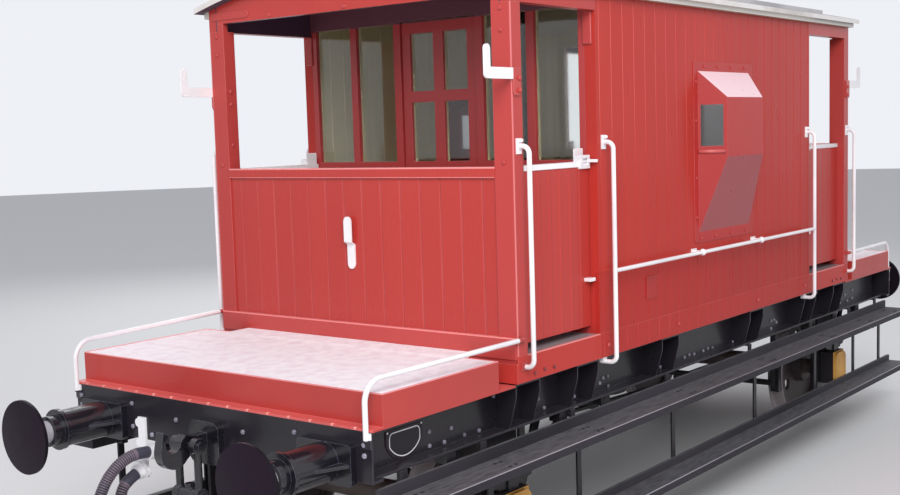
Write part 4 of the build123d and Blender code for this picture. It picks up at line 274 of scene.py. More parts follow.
def join_loops(made, loops, smooth=False, capped=True):
    """Faces from each loop of corners to the next, with a flat face over the first loop and the last."""
    for lower, upper in zip(loops, loops[1:]):
        for k in range(len(lower)):
            after = (k + 1) % len(lower)
            made.faces.new((lower[k], lower[after], upper[after], upper[k])).smooth = smooth
    if capped:
        made.faces.new(list(reversed(loops[0])))
        made.faces.new(loops[-1])


def ring_of(made, centre, radius, side, other, sides):
    """A ring of corners round a centre, in the plane of two directions."""
    turns = (2 * math.pi * k / sides for k in range(sides))
    return [made.verts.new(centre + radius * (math.cos(t) * side + math.sin(t) * other)) for t in turns]


def tube_along(points, radius_at, sides):
    """Skin round a line of points, its radius read from the distance run, with flat closed ends."""
    made = bmesh.new()
    rings = []
    heading = (points[1] - points[0]).normalized()
    side = heading.orthogonal().normalized()
    run = 0.0
    for index, point in enumerate(points):
        if index:
            run += (point - points[index - 1]).length
        ahead = points[min(index + 1, len(points) - 1)] - points[max(index - 1, 0)]
        turn = heading.rotation_difference(ahead.normalized())
        heading = ahead.normalized()
        side = (turn @ side).normalized()
        rings.append(ring_of(made, point, radius_at(run), side, heading.cross(side), sides))
    join_loops(made, rings, smooth=True)
    return made


def spread_evenly(points, step):
    """The same line with its points a fixed step apart, and its length."""
    lengths = [0.0]
    for before, after in zip(points, points[1:]):
        lengths.append(lengths[-1] + (after - before).length)
    count = round(lengths[-1] / step)
    spread = []
    index = 0
    for k in range(count + 1):
        target = lengths[-1] * k / count
        while index < len(points) - 2 and lengths[index + 1] < target:
            index += 1
        share = (target - lengths[index]) / (lengths[index + 1] - lengths[index])
        spread.append(points[index].lerp(points[index + 1], min(1, share)))
    return spread, lengths[-1]


def hose_radius(length):
    """Ribs all along, dying out into a plain cuff at each end."""
    def radius(run):
        edge = min(run, length - run)
        depth = RIB_DEPTH * min(1, max(0, (edge - HOSE_CUFF) / CUFF_FADE))
        return HOSE_D / 2 - depth * (0.5 - 0.5 * math.cos(2 * math.pi * run / RIB_PITCH))
    return radius


# The grooves get a darker tone as painted shade and the crests a lighter one as painted highlight; the cuffs
# keep the plain rubber tone.
rubber = finish("hose_rubber", (70, 68, 82), (54, 51, 62), 0.4, speck=60, bump=0.15)
groove_shade = finish("hose_groove_painted_shade", (40, 37, 43), (32, 30, 34), 0.6, speck=60, bump=0.15)
crest_highlight = finish("hose_crest_painted_highlight", (114, 100, 113), (88, 82, 95), 0.5, speck=60, bump=0.15)
for letter, turn in (("a", 1), ("b", -1)):
    curve = bpy.data.curves.new("hose_route", "CURVE")
    curve.dimensions = "3D"
    spline = curve.splines.new("NURBS")
    spline.points.add(len(HOSE_ROUTE) - 1)
    for point, (x, y, z) in zip(spline.points, HOSE_ROUTE):
        point.co = (turn * x, turn * y, z, 1)
    spline.order_u = ROUTE_ORDER
    spline.use_endpoint_u = True
    spline.resolution_u = ROUTE_STEPS
    route = bpy.data.objects.new("hose_route", curve)
    bpy.context.collection.objects.link(route)
    line = [vertex.co.copy() for vertex in bpy.data.meshes.new_from_object(route).vertices]
    bpy.data.objects.remove(route)
    centre, run = spread_evenly(line, RIB_PITCH / RIB_STEPS)
    radius_at = hose_radius(run)
    hose = place_piece("hose_" + letter, tube_along(centre, radius_at, HOSE_SIDES), rubber)
    hose.data.materials.append(groove_shade)
    hose.data.materials.append(crest_highlight)
    step = run / (len(centre) - 1)
    for face in hose.data.polygons:
        at = (face.index // HOSE_SIDES + 0.5) * step
        if HOSE_CUFF < at < run - HOSE_CUFF:
            face.material_index = 1 if radius_at(at) < HOSE_D / 2 - GROOVE_SHARE * RIB_DEPTH else 2
    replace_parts(hose, "vacuum_hose_" + letter)
    print("hose", letter, "runs", round(run, 3))

# Underframe
# Riveted steel channels: two long solebars, a headstock across each end, cross members, and knee brackets
# that carry the body. Black paint, dulled by brake dust and weather, with bolt heads left standing.
WEB_Y, HEADSTOCK_X = 1.010, 3.6576
WEB_BOLT, END_BOLT = (0.013, 0.010), (0.014, 0.011)
WEB_BOLTS = ((3.060, 1.111), (3.060, 1.037), (2.875, 1.092), (2.937, 1.030), (2.762, 1.030), (2.630, 1.026),
             (2.490, 1.190), (2.210, 1.190), (2.052, 1.090), (1.990, 1.025), (1.780, 1.190), (1.659, 1.030),
             (1.362, 1.057), (1.320, 1.083), (1.264, 1.084), (1.259, 1.020), (0.740, 1.190), (0.660, 1.024),
             (0.567, 1.024), (0.218, 1.032), (0.145, 1.038), (0.071, 1.032))
END_BOLTS = ((1.104, 1.187), (1.104, 1.134), (0.640, 1.190), (0.640, 1.060), (0.476, 1.032), (0.264, 1.142),
             (0.264, 1.020))
TO_SIDE, TO_MIDDLE, TO_END, TO_SKY = (0, 1, 0), (0, -1, 0), (1, 0, 0), (0, 0, 1)
# Each ring of a bolt head: its share of the radius and of the height. A feeler starts that far off the piece.
HEAD_RINGS = ((1.0, -0.3), (1.0, 0.55), (0.8, 0.9), (0.35, 1.0))
FEELER = 0.08


def dress(material, *names):
    """Gives CAD pieces their finish."""
    for name in names:
        nodes[name].data.materials[0] = material


def all_corners(places, facing):
    """Spots of one corner, which face one way, repeated at all four corners."""
    return [(Vector((end * x, flank * y, z)), Vector((end * facing[0], flank * facing[1], facing[2])))
            for x, y, z in places for end in (-1, 1) for flank in (-1, 1)]


def half_turned(places, facing):
    """Spots of one end or flank, which face one way, and the same turned half round the van's middle."""
    return [(Vector((turn * x, turn * y, z)), Vector((turn * facing[0], turn * facing[1], facing[2])))
            for turn in (1, -1) for x, y, z in places]


skins = {}


def bolt_heads(name, on, spots, size, material, sides=6):
    """Bolt heads or rivets, each set where a line from in front of its spot first meets the CAD piece.

    size is a head's radius and height."""
    radius, height = size
    if on not in skins:
        mesh = nodes[on].data
        skins[on] = BVHTree.FromPolygons([v.co for v in mesh.vertices], [p.vertices for p in mesh.polygons])
    made = bmesh.new()
    for place, facing in spots:
        hit = skins[on].ray_cast(place + FEELER * facing, -facing, 2 * FEELER)[0]
        if hit is None:
            print("no surface for", name, [round(c, 3) for c in place])
            continue
        side = facing.orthogonal().normalized()
        rings = [ring_of(made, hit + height * rise * facing, radius * share, side, facing.cross(side), sides)
                 for share, rise in HEAD_RINGS]
        join_loops(made, rings, smooth=sides > 6)
    return place_piece(name, made, material)


# Its edge tone is a painted highlight along the black frame's edges.
frame_black = finish("frame_black", (36, 32, 39), (26, 24, 30), 0.28, speck=30, bump=0.05, coat=0.15,
                     dust=((84, 78, 84), 0.22), edge=((100, 96, 108), 0.0035))
dress(frame_black, "solebars", "headstocks", "cross_members", "body_brackets")
# The solebar and headstock bolt heads are painted pale grey: a painted glint on the black frame.
bolt_glint = finish("bolt_glint", (150, 146, 160), (98, 94, 106), 0.35, speck=60, bump=0.1, coat=0.4)
bolt_heads("solebar_bolts", "solebars", all_corners([(x, WEB_Y, z) for x, z in WEB_BOLTS], TO_SIDE),
           WEB_BOLT, bolt_glint)
bolt_heads("headstock_bolts", "headstocks", all_corners([(HEADSTOCK_X, y, z) for y, z in END_BOLTS], TO_END),
           END_BOLT, bolt_glint)

# Running gear
# Steel wheelsets in cast axleboxes under laminated springs, held by plate axleguards. Brake dust and grease
# cover all of it, the treads are run bright, and the axlebox covers are painted yellow.
COVER_Y, TREAD_R, AXLE_END_R = 1.118, 0.468, 0.1
# Its edge tone is a painted highlight along the gear's edges.
gear_black = finish("gear_black", (32, 29, 34), (23, 21, 25), 0.42, speck=45, bump=0.3, coat=0.15,
                    dust=((92, 84, 86), 0.4), edge=((90, 84, 94), 0.003))
dress(gear_black, "axleguards", "leaf_springs", "brake_blocks", "brake_rigging", "brake_cylinder",
      "footboard_hangers")
dress(finish("axlebox_iron", (40, 36, 42), (28, 25, 29), 0.5, speck=45, bump=0.3, dust=((98, 88, 84), 0.5),
             zones=(((218, 168, 92), (180, 132, 66), {"|y|": (COVER_Y, FAR)}),)), "axleboxes")
wheel_steel = finish("wheel_steel", (74, 64, 64), (48, 42, 44), 0.5, speck=35, bump=0.25,
                     zones=(((158, 152, 154), (122, 112, 112), {"axle": (TREAD_R, FAR)}),
                            ((110, 98, 94), (86, 74, 72), {"axle": (0, AXLE_END_R)})))
dress(wheel_steel, "wheelset_a", "wheelset_b")

# Buffers and drawgear
# Round steel buffer heads on bright rods in black cast housings, black with grease where they meet their
# neighbours; a forged hook through each headstock with a screw coupling hung on it.
ROD_X, BUFFER_FACE_X = (3.6, 4.182), 4.205
# The housings' and the forged steel's bluish pale edge tones are painted highlights along their edges.
dress(finish("housing_black", (26, 24, 31), (18, 17, 23), 0.2, speck=50, bump=0.15, coat=0.55, shine=0.35,
             edge=((118, 118, 142), 0.003)), "buffer_housings")
dress(finish("buffer_steel", (22, 17, 25), (15, 12, 18), 0.4, speck=22, bump=0.15, coat=0.03, shine=0.12,
             zones=(((186, 182, 190), (140, 136, 142), {"|x|": ROD_X}),
                    ((26, 13, 28), (15, 8, 18), {"|x|": (BUFFER_FACE_X, FAR)}))), "buffer_heads")
dress(finish("forged_steel", (27, 25, 31), (19, 18, 23), 0.25, speck=50, bump=0.12, coat=0.6, shine=0.3,
             dust=((88, 76, 74), 0.1), edge=((126, 124, 146), 0.003)), "draw_hooks", "screw_couplings")

# Vacuum pipes and couplings
# Black steel train pipe under the headstocks, with white cast collars, clips and dummies that the hoses
# are pushed on.
COLLAR_X = 3.660
dress(finish("pipe_paint", (38, 34, 40), (27, 24, 29), 0.42, speck=45, bump=0.2, coat=0.15,
             zones=(((238, 236, 240), (214, 212, 216), {"|x|": (COLLAR_X, FAR)}),)), "vacuum_pipes")
fitting_white = finish("fitting_white", (244, 242, 245), (222, 219, 223), 0.4, speck=50, bump=0.1, coat=0.3,
                       dust=((196, 188, 190), 0.25))
dress(fitting_white, "hose_couplings")

# Footboards
# Two long oak boards each side on strap hangers, tarred dark, with dust in the grain, painted shade on their
# front faces and a painted highlight along their front edges on top. Pairs of bolts hold the upper boards on
# their hangers.
BOARD_FRONT_Y, FRONT_HIGHLIGHT_Y, FACES_UP = 1.3425, 1.333, (0.5, FAR)
HANGER_X, TREAD_BOLT_Y, TREAD_BOLT_Z, BOLT_GAP = (0.650, 1.832, 2.720, 3.380), (1.200, 1.300), 0.894, 0.025
TREAD_BOLT = (0.011, 0.005)
dress(finish("footboard_timber", (58, 55, 61), (30, 28, 33), 0.6, speck=30, grain=(0.3, 1.5, 1.5), bump=0.55,
             dust=((106, 104, 108), 0.8),
             # painted shade on the front faces, then a painted highlight along the front edges of the tops
             zones=(((42, 39, 46), (30, 27, 33), {"|y|": (BOARD_FRONT_Y, FAR)}),
                    ((186, 182, 192), (140, 136, 146), {"|y|": (FRONT_HIGHLIGHT_Y, FAR), "up": FACES_UP}))),
      "upper_footboards", "lower_footboards")
tread_bolts = [(x + gap, y, TREAD_BOLT_Z)
               for x in HANGER_X for gap in (-BOLT_GAP, BOLT_GAP) for y in TREAD_BOLT_Y]
bolt_heads("footboard_bolts", "upper_footboards", all_corners(tread_bolts, TO_SKY), TREAD_BOLT, frame_black,
           sides=10)

# Plates
# A blank cast plate with a raised white rim on one end of each solebar, and a blank red label clip low on
# each side wall.
PLATE_X, PLATE_Y, CLIP_Y = -3.259, -1.016, 1.17
PLATE_RIVET, RIVET_X, RIVET_Z = (0.006, 0.004), 0.133, 1.174
RIM_HALF, RIM_TOP, RIM_CORNER, RIM_SHOULDER, RIM_LOW = 0.121, 1.169, 0.030, 1.098, 1.033
RIM_W, RIM_SUNK, RIM_PROUD, CORNER_STEPS, BOWL_STEPS = 0.0052, -0.001, 0.0015, 6, 24
RIM_SECTION = ((0, RIM_SUNK), (0, RIM_PROUD), (RIM_W, RIM_PROUD), (RIM_W, RIM_SUNK))
# Its edge tone is a painted highlight along the plate's and the clip's edges.
dress(finish("plate_paint", (40, 36, 43), (30, 27, 33), 0.35, speck=60, coat=0.15, shine=0.15,
             zones=(((172, 48, 43), (160, 44, 40), {"|y|": (CLIP_Y, FAR)}),),
             edge=((176, 112, 114), 0.0025)), "side_plates")
plate_white = finish("plate_white", (236, 234, 238), (208, 204, 210), 0.45, speck=60)
outline = [(-RIM_HALF, RIM_SHOULDER), (-RIM_HALF, RIM_TOP - RIM_CORNER)]
outline += [(-RIM_HALF + RIM_CORNER * (1 - math.cos(t)), RIM_TOP - RIM_CORNER * (1 - math.sin(t)))
            for t in (math.pi / 2 * k / CORNER_STEPS for k in range(1, CORNER_STEPS + 1))]
outline += [(-x, z) for x, z in reversed(outline)]
sag = RIM_SHOULDER - RIM_LOW
bowl = (RIM_HALF ** 2 + sag ** 2) / (2 * sag)
bowl_turn = math.asin(RIM_HALF / bowl)
outline += [(bowl * math.sin(t), RIM_LOW + bowl * (1 - math.cos(t)))
            for t in (bowl_turn * (1 - 2 * k / BOWL_STEPS) for k in range(1, BOWL_STEPS))]
rims = bmesh.new()
for turn in (1, -1):
    rings = []
    for index, (x, z) in enumerate(outline):
        before, after = outline[index - 1], outline[(index + 1) % len(outline)]
        away = Vector((after[1] - before[1], before[0] - after[0])).normalized()
        rings.append([rims.verts.new((turn * (PLATE_X + x + inward * away.x), turn * (PLATE_Y - proud),
                                      z + inward * away.y)) for inward, proud in RIM_SECTION])
    join_loops(rims, rings + rings[:1], capped=False)
place_piece("plate_rims", rims, plate_white)
plate_rivets = half_turned([(PLATE_X + x, PLATE_Y, RIVET_Z) for x in (-RIVET_X, RIVET_X)], TO_MIDDLE)
bolt_heads("plate_rivets", "side_plates", plate_rivets, PLATE_RIVET, plate_white, sides=10)

# Ballast trays and weights
# Flanged steel trays on the frame ends, red, each filled level with a cast concrete block that adds brake
# weight. The concrete is pale, pitted and stained pink by red dust, and runs on to the body's foot board.
LEDGE_TOP, TRAY_SIDE_Y, LIP_LOW = 1.2655, 1.1616, 1.4200
BACK_PROFILE = ((2.4925, 1.2642), (2.4925, 1.4250), (2.4945, 1.4265), (2.6600, 1.4268), (2.7100, 1.4216),
                (2.7100, 1.4190), (2.6400, 1.4190), (2.6400, 1.2642))
BACK_Y = (-0.850, 0.930)
WELD_PITCH, WELD_HALF, WELDS_EACH_WAY = 0.1495, 0.007, 7
WELD_PROFILE = ((3.6572, 1.2535), (3.6592, 1.2545), (3.6592, 1.2635), (3.6560, 1.2662), (3.6470, 1.2662),
                (3.6450, 1.2645), (3.6450, 1.2535))
RAIL_FOOT_X, RAIL_FOOT_Z = 2.502, 1.215
# Its edge tone is a painted highlight along the tray's edges.
tray_red = finish("tray_red", (186, 62, 56), (170, 56, 52), 0.3, speck=14, bump=0.08, coat=0.2,
                  edge=((220, 130, 128), 0.003), dust=((158, 84, 80), 0.3),
                  zones=(((222, 100, 96), (206, 88, 84), {"z": (0, LEDGE_TOP), "|y|": (0, TRAY_SIDE_Y)}),
                         ((240, 152, 154), (228, 136, 138), {"z": (LIP_LOW, FAR)})))
dress(tray_red, "ballast_trays")
pale_concrete = finish("pale_concrete", (253, 249, 252), (238, 224, 233), 0.85, speck=240, bump=1.0,
                       dust=((244, 234, 242), 0.4))
dress(pale_concrete, "ballast_weights")
backs = bmesh.new()
for turn in (1, -1):
    join_loops(backs, [[backs.verts.new((-turn * x, turn * y, z)) for x, z in BACK_PROFILE] for y in BACK_Y])
place_piece("weight_backs", backs, pale_concrete)
welds = bmesh.new()
for turn in (1, -1):
    for k in range(-WELDS_EACH_WAY, WELDS_EACH_WAY + 1):
        join_loops(welds, [[welds.verts.new((turn * x, k * WELD_PITCH + half, z)) for x, z in WELD_PROFILE]
                           for half in (-WELD_HALF, WELD_HALF)])
weld_pink = finish("weld_pink", (242, 160, 152), (230, 140, 134), 0.4, speck=60, bump=0.2)
place_piece("tray_welds", welds, weld_pink)
white, white_shade = (244, 242, 244), (226, 222, 226)
dress(finish("tray_rail_paint", white, white_shade, 0.28, speck=30, bump=0.05, coat=0.4,
             zones=(((188, 76, 72), (170, 68, 66), {"|x|": (0, RAIL_FOOT_X)}),
                    ((54, 48, 56), (40, 36, 42), {"z": (0, RAIL_FOOT_Z)}))), "tray_handrails")

# Body frame
# Oak posts, rails, sills and lintels, bolted up and painted gloss red; the curb rails are walked grey in
# the doorways, and the floor's boards are dark.
POST_X, WALL_Y = 2.480, 1.182
POST_HIGHLIGHT_X, POST_HIGHLIGHT_Y = 2.4735, 1.1755
CABIN_X, SHADE_X, SHADE_Y = 1.62, 2.476, 1.1165
WALKED_X, WALKED_UP, CURB_IN_Y, CURB_EDGE_Y, CURB_HIGHLIGHT_Z = (1.63, 2.385), (0.6, FAR), 1.1, 1.165, 1.4160
CURB_HIGHLIGHT_X, WALL_END_X, SILL_X, CABIN_FLOOR_X = (1.62, 2.39), 1.612, 2.44, 1.56
FLOOR_BOARD, FLOOR_JOINT = 0.155, 0.006
POST_BOLT, POST_BOLT_Y, POST_BOLT_ZS = (0.013, 0.009), 1.118, (3.297, 3.181, 2.477)
POST_IN_X, POST_IN_Y, POST_IN_ZS = 2.440, 1.055, (2.948, 2.866, 2.605)
CURB_BOLT, CURB_BOLTS = (0.012, 0.008), ((2.325, 1.308), (2.229, 1.314), (2.131, 1.310))
CABIN_BOLT, CABIN_BOLTS = (0.014, 0.010), ((0.630, 1.340), (1.530, 1.340))
LINTEL_BOLT, LINTEL_BOLTS = (0.012, 0.008), ((1.034, 3.424), (0.873, 3.424), (0.628, 3.398), (0.008, 3.398))
# The pale pink edge tone of the red paint is a painted highlight along the edges.
red, red_shade, red_edge_highlight = (187, 60, 54), (176, 55, 50), (222, 128, 128)
verandah_shade = ((84, 58, 76), (66, 46, 62))
# The posts' outer corners carry a pale pink painted highlight.
frame_red = finish("frame_red", (187, 68, 65), (178, 64, 60), 0.3, speck=12, grain=(1, 1, 0.25), bump=0.07,
                   coat=0.18, shine=0.2, edge=(red_edge_highlight, 0.006),
                   zones=(((224, 124, 124), (208, 102, 102),
                           {"|x|": (POST_HIGHLIGHT_X, FAR), "|y|": (POST_HIGHLIGHT_Y, FAR)}),))
dress(frame_red, "corner_posts")
dress(finish("cantrail_red", red, red_shade, 0.3, speck=12, grain=(0.25, 1, 1), bump=0.07, coat=0.18,
             edge=(red_edge_highlight, 0.005),
             zones=((*verandah_shade, {"|y|": (0, SHADE_Y), "|x|": (CABIN_X, FAR)}),)), "cantrails")
dress(finish("curb_red", red, red_shade, 0.3, speck=12, grain=(0.25, 1, 1), bump=0.05, coat=0.1, shine=0.1,
             edge=(red_edge_highlight, 0.005),
             zones=(((150, 138, 142), (118, 104, 108),
                     {"|x|": WALKED_X, "up": WALKED_UP, "|y|": (CURB_IN_Y, CURB_EDGE_Y)}),
                    # painted highlight: a pale pink line along the curb's top front edge
                    ((234, 146, 144), (220, 128, 126),
                     {"|x|": CURB_HIGHLIGHT_X, "z": (CURB_HIGHLIGHT_Z, FAR), "|y|": (CURB_EDGE_Y, FAR)}),
                    # painted shade: the curb's face under the cabin takes the walls' darker low tone
                    ((177, 48, 42), (167, 45, 40), {"|x|": (0, WALL_END_X), "|y|": (CURB_EDGE_Y, FAR)}),
                    ((56, 48, 52), (44, 38, 42), {"|y|": (0, CURB_IN_Y), "|x|": (0, SILL_X)}))),
      "bottom_frame")
dress(finish("lintel_red", red, red_shade, 0.3, speck=12, bump=0.07, coat=0.18, edge=(red_edge_highlight, 0.005),
             zones=((*verandah_shade, {"|x|": (0, SHADE_X)}),)), "lintels")
# The floor inside the cabin is painted lighter as painted light, for the light that comes in through the
# glass.
dress(finish("floor_timber", (96, 90, 92), (74, 69, 72), 0.75, speck=30, grain=(1.5, 0.12, 1.5), bump=0.5,
             boards=("x", FLOOR_BOARD, 0.0, (38, 35, 38), FLOOR_JOINT), dust=((132, 124, 126), 0.5),
             zones=(((164, 152, 136), (140, 128, 112), {"|x|": (0, CABIN_FLOOR_X)}),)), "floor_boards")
post_bolts = all_corners([(POST_X, POST_BOLT_Y, z) for z in POST_BOLT_ZS], TO_END)
post_bolts += all_corners([(POST_IN_X, POST_IN_Y, z) for z in POST_IN_ZS], TO_MIDDLE)
bolt_heads("post_bolts", "corner_posts", post_bolts, POST_BOLT, frame_red)
bolt_red = finish("bolt_red", (126, 44, 48), (100, 36, 41), 0.3, speck=60, bump=0.1, coat=0.5)
bolt_heads("curb_bolts", "bottom_frame", all_corners([(x, WALL_Y, z) for x, z in CURB_BOLTS], TO_SIDE),
           CURB_BOLT, bolt_red)
bolt_heads("curb_red_bolts", "bottom_frame", all_corners([(x, WALL_Y, z) for x, z in CABIN_BOLTS], TO_SIDE),
           CABIN_BOLT, frame_red)
bolt_heads("lintel_bolts", "lintels", all_corners([(POST_X, y, z) for y, z in LINTEL_BOLTS], TO_END),
           LINTEL_BOLT, frame_red)

# Fillers under the foot boards and loose floor boards
# A strip closes the slot between each end's sill and foot board. A worn loose board behind each curb brings
# the floor up level with it in the doorway.
BOX_FACES = ((0, 1, 3, 2), (4, 6, 7, 5), (0, 4, 5, 1), (2, 3, 7, 6), (0, 2, 6, 4), (1, 5, 7, 3))
FILLER, FILLER_EASE = ((2.440, -1.168, 1.3790), (2.482, 1.168, 1.4070)), 0.002
STEP_BOARD, STEP_EASE = ((1.634, 0.900, 1.3945), (2.386, 1.1065, 1.4215)), 0.003


def moved_to(box, end, flank=1):
    """A box written for the corner where x and y are positive, mirrored to another corner."""
    return [(end * x, flank * y, z) for x, y, z in box]


def blocks(name, boxes, edge, material, body="van"):
    """Flat bars and plates with eased edges, each between two opposite corners, joined in one mesh."""
    made = bmesh.new()
    for box in boxes:
        limits = [sorted(pair) for pair in zip(*box)]
        corners = [made.verts.new([limits[axis][(k >> axis) & 1] for axis in range(3)]) for k in range(8)]
        for face in BOX_FACES:
            made.faces.new([corners[k] for k in face])
    bmesh.ops.recalc_face_normals(made, faces=made.faces)
    bmesh.ops.bevel(made, geom=list(made.edges), offset=edge, segments=2, affect="EDGES")
    return place_piece(name, made, material, body)


def on_corners(box):
    """The box at all four corners."""
    return [moved_to(box, end, flank) for end in (-1, 1) for flank in (-1, 1)]


blocks("foot_fillers", [moved_to(FILLER, end) for end in (-1, 1)], FILLER_EASE, frame_red)
worn_board = finish("worn_board", (158, 146, 150), (116, 106, 110), 0.8, speck=40, grain=(0.15, 1.5, 1.5),
                    bump=0.4)
blocks("doorway_boards", on_corners(STEP_BOARD), STEP_EASE, worn_board)

# Lintel straps
# Forged straps with round ends, bolted and painted red, that tie the lintels to the posts under the roof's
# edge. Their outer edges are eased.
STRAP_OUT, STRAP_IN, STRAP_Z, STRAP_HALF, STRAP_STEPS = 1.152, 0.815, 3.424, 0.024, 10
# Each layer of a strap: how far it stands off the post and how far its edge is drawn in.
STRAP_LAYERS, STRAP_MIDDLE = ((-0.001, 0), (0.0055, 0), (0.007, 0.002)), 0.9
round_end = [(STRAP_IN + STRAP_HALF * (1 - math.cos(t)), STRAP_Z + STRAP_HALF * math.sin(t))
             for t in (math.pi * (0.5 - k / STRAP_STEPS) for k in range(STRAP_STEPS + 1))]
strap_line = [(STRAP_OUT, STRAP_Z + STRAP_HALF)] + round_end + [(STRAP_OUT, STRAP_Z - STRAP_HALF)]
straps = bmesh.new()
for end in (-1, 1):
    for flank in (-1, 1):
        layers = []
        for proud, ease in STRAP_LAYERS:
            eased = [(y + (ease if y < STRAP_MIDDLE else -ease), z + (ease if z < STRAP_Z else -ease))
                     for y, z in strap_line]
            layers.append([straps.verts.new((end * (POST_X + proud), flank * y, z)) for y, z in eased])
        join_loops(straps, layers)
place_piece("lintel_straps", straps, frame_red)

# Side walls and end panels
# Vertical tongued boards with V joints, gloss red outside; the cabin's inside is cream. The end boards
# stand between a foot board and a waist rail.
WALL_BOARD, WALL_JOINT, JOINT_HIGHLIGHT_FROM = 0.1374, 0.004, (2.25, 2.85)
WALL_LOW, WALL_SKIN_Y, CABIN_IN_X = 1.792, 1.150, 1.600
END_BOARD, END_JOINT = 0.1478, 0.003
RAIL_X, FOOT_X, FOOT_Z, FOOT_HIGHLIGHT_Z = 2.474, 2.4795, 1.53, (1.5170, 1.5290)
WAIST_TOP_HIGHLIGHT_X, WAIST_TOP_HIGHLIGHT_Z, WAIST_LOW_HIGHLIGHT_X, WAIST_LOW_HIGHLIGHT_Z = 2.40, (2.4450, 2.4590), 2.478, (2.3930, 2.3990)
PANEL_BACK_SHADE_X = 2.43
cream, cream_shade = (255, 244, 202), (244, 230, 184)
low_wall_painted_shade, low_wall_painted_shade_dark = (177, 48, 42), (167, 45, 40)
# The V joints turn pale pink high up as a painted highlight, and the edge tone is a painted highlight too.
dress(finish("wall_boards", (190, 58, 50), (179, 53, 47), 0.28, speck=10, grain=(1, 1, 0.2), bump=0.03,
             coat=0.1, shine=0.1, edge=((196, 80, 76), 0.0035),
             boards=("x", WALL_BOARD, WALL_BOARD / 2, (150, 46, 42), WALL_JOINT, (234, 158, 156), JOINT_HIGHLIGHT_FROM),
             # painted shade: the boards below the long handrail are darker, for the dark ground reflected in
             # the gloss
             zones=((low_wall_painted_shade, low_wall_painted_shade_dark, {"z": (0, WALL_LOW), "|y|": (WALL_SKIN_Y, FAR)}),
                    (cream, cream_shade, {"|y|": (0, WALL_SKIN_Y), "|x|": (0, CABIN_IN_X)}))), "side_walls")
dress(finish("end_boards", red, red_shade, 0.26, speck=10, grain=(1, 1, 0.2), bump=0.07, coat=0.25,
             boards=("y", END_BOARD, END_BOARD / 2, (146, 52, 52), END_JOINT), edge=(red_edge_highlight, 0.005),
             zones=((red, red_shade, {"|x|": (RAIL_X, FAR)}),
                    ((190, 72, 68), (180, 64, 61), {"|x|": (FOOT_X, FAR), "z": (0, FOOT_Z)}),
                    # painted highlights: pale pink lines along the foot board's top edge and the waist rail's
                    # top and bottom edges
                    ((242, 140, 138), (232, 124, 122), {"|x|": (RAIL_X, FAR), "z": FOOT_HIGHLIGHT_Z}),
                    ((236, 148, 148), (222, 126, 126), {"|x|": (WAIST_TOP_HIGHLIGHT_X, FAR), "z": WAIST_TOP_HIGHLIGHT_Z}),
                    ((226, 128, 126), (206, 100, 98), {"|x|": (WAIST_LOW_HIGHLIGHT_X, FAR), "z": WAIST_LOW_HIGHLIGHT_Z}),
                    # painted shade on the panels' inner faces, inside the verandah
                    ((150, 62, 66), (128, 54, 60), {"|x|": (0, PANEL_BACK_SHADE_X)}))), "end_panels")

# Lookouts
# Pressed steel boxes riveted over openings in the side walls, with a small pane in each cheek and a greyish
# pink underside. The cheeks carry painted shade and the sloping tops a pale painted highlight. A rolled lip
# sheds the rain under each pane.
LOOKOUT_X, CHEEK_HALF, CHEEK_SPLAY, LOOKOUT_DEPTH = 0.072, 0.400, 0.117, 0.165
LOOKOUT_IN_Y, CHEEK_Y, SLOPE_Y = 1.180, 1.1875, 1.186
CHEEK_ALONG, RAKED_UP, SLOPED_UP = (0.5, FAR), (-0.6, -0.15), (0.4, 0.9)
FLANGE_Y, FLANGE_HALF, FLANGE_LOW_Z, FLANGE_TOP_Z = 1.187, 0.428, 1.880, 3.036
RIVET, SIDE_RIVETS_Z = (0.011, 0.008), (2.931, 2.673, 2.290, 2.024)
LOW_RIVETS_X, TOP_RIVETS_X = (-0.294, -0.076, 0.168, 0.405), (-0.225, -0.024, 0.185, 0.403)
LIP_OUT, LIP_Z, LIP_R, LIP_SIDES, LIP_YS = 0.004, 2.466, 0.013, 12, (1.190, 1.262, 1.334)
dress(finish("lookout_red", (181, 50, 47), (172, 46, 44), 0.28, speck=9, bump=0.05, coat=0.08, shine=0.2,
             edge=(red_edge_highlight, 0.005),
             # painted shade on the cheeks, which face along the van
             zones=(((168, 58, 57), (156, 52, 52), {"along": CHEEK_ALONG, "|y|": (CHEEK_Y, FAR)}),
                    ((162, 74, 78), (152, 68, 72), {"up": RAKED_UP, "|y|": (SLOPE_Y, FAR)}),
                    # painted highlight on the sloping tops, a pale pink for the sky seen in the gloss
                    ((250, 216, 224), (244, 200, 208), {"up": SLOPED_UP, "|y|": (SLOPE_Y, FAR)}),
                    (cream, cream_shade, {"|y|": (0, LOOKOUT_IN_Y)}))), "lookouts")
rivets = [(LOOKOUT_X + end * FLANGE_HALF, z) for end in (-1, 1) for z in SIDE_RIVETS_Z]
rivets += [(x, FLANGE_LOW_Z) for x in LOW_RIVETS_X]
rivets += [(x, FLANGE_TOP_Z) for x in TOP_RIVETS_X]
rivet_spots = [(Vector((x, flank * FLANGE_Y, z)), Vector((0, flank, 0)))
               for flank in (-1, 1) for x, z in rivets]
bolt_heads("lookout_rivets", "lookouts", rivet_spots, RIVET, frame_red, sides=10)
# The lips are painted a lighter pink than the lookouts as a painted highlight.
lip_highlight = finish("lip_highlight", (206, 102, 102), (190, 84, 84), 0.3, speck=60, bump=0.05, coat=0.15)
for flank, side_name in ((-1, "near"), (1, "far")):
    for end, letter in ((-1, "a"), (1, "b")):
        lip = []
        for y in LIP_YS:
            out = CHEEK_HALF - CHEEK_SPLAY * (y - WALL_Y) / LOOKOUT_DEPTH + LIP_OUT
            lip.append(Vector((LOOKOUT_X + end * out, flank * y, LIP_Z)))
        place_piece("sight_lip_" + letter + "_" + side_name, tube_along(lip, lambda run: LIP_R, LIP_SIDES),
                    lip_highlight)

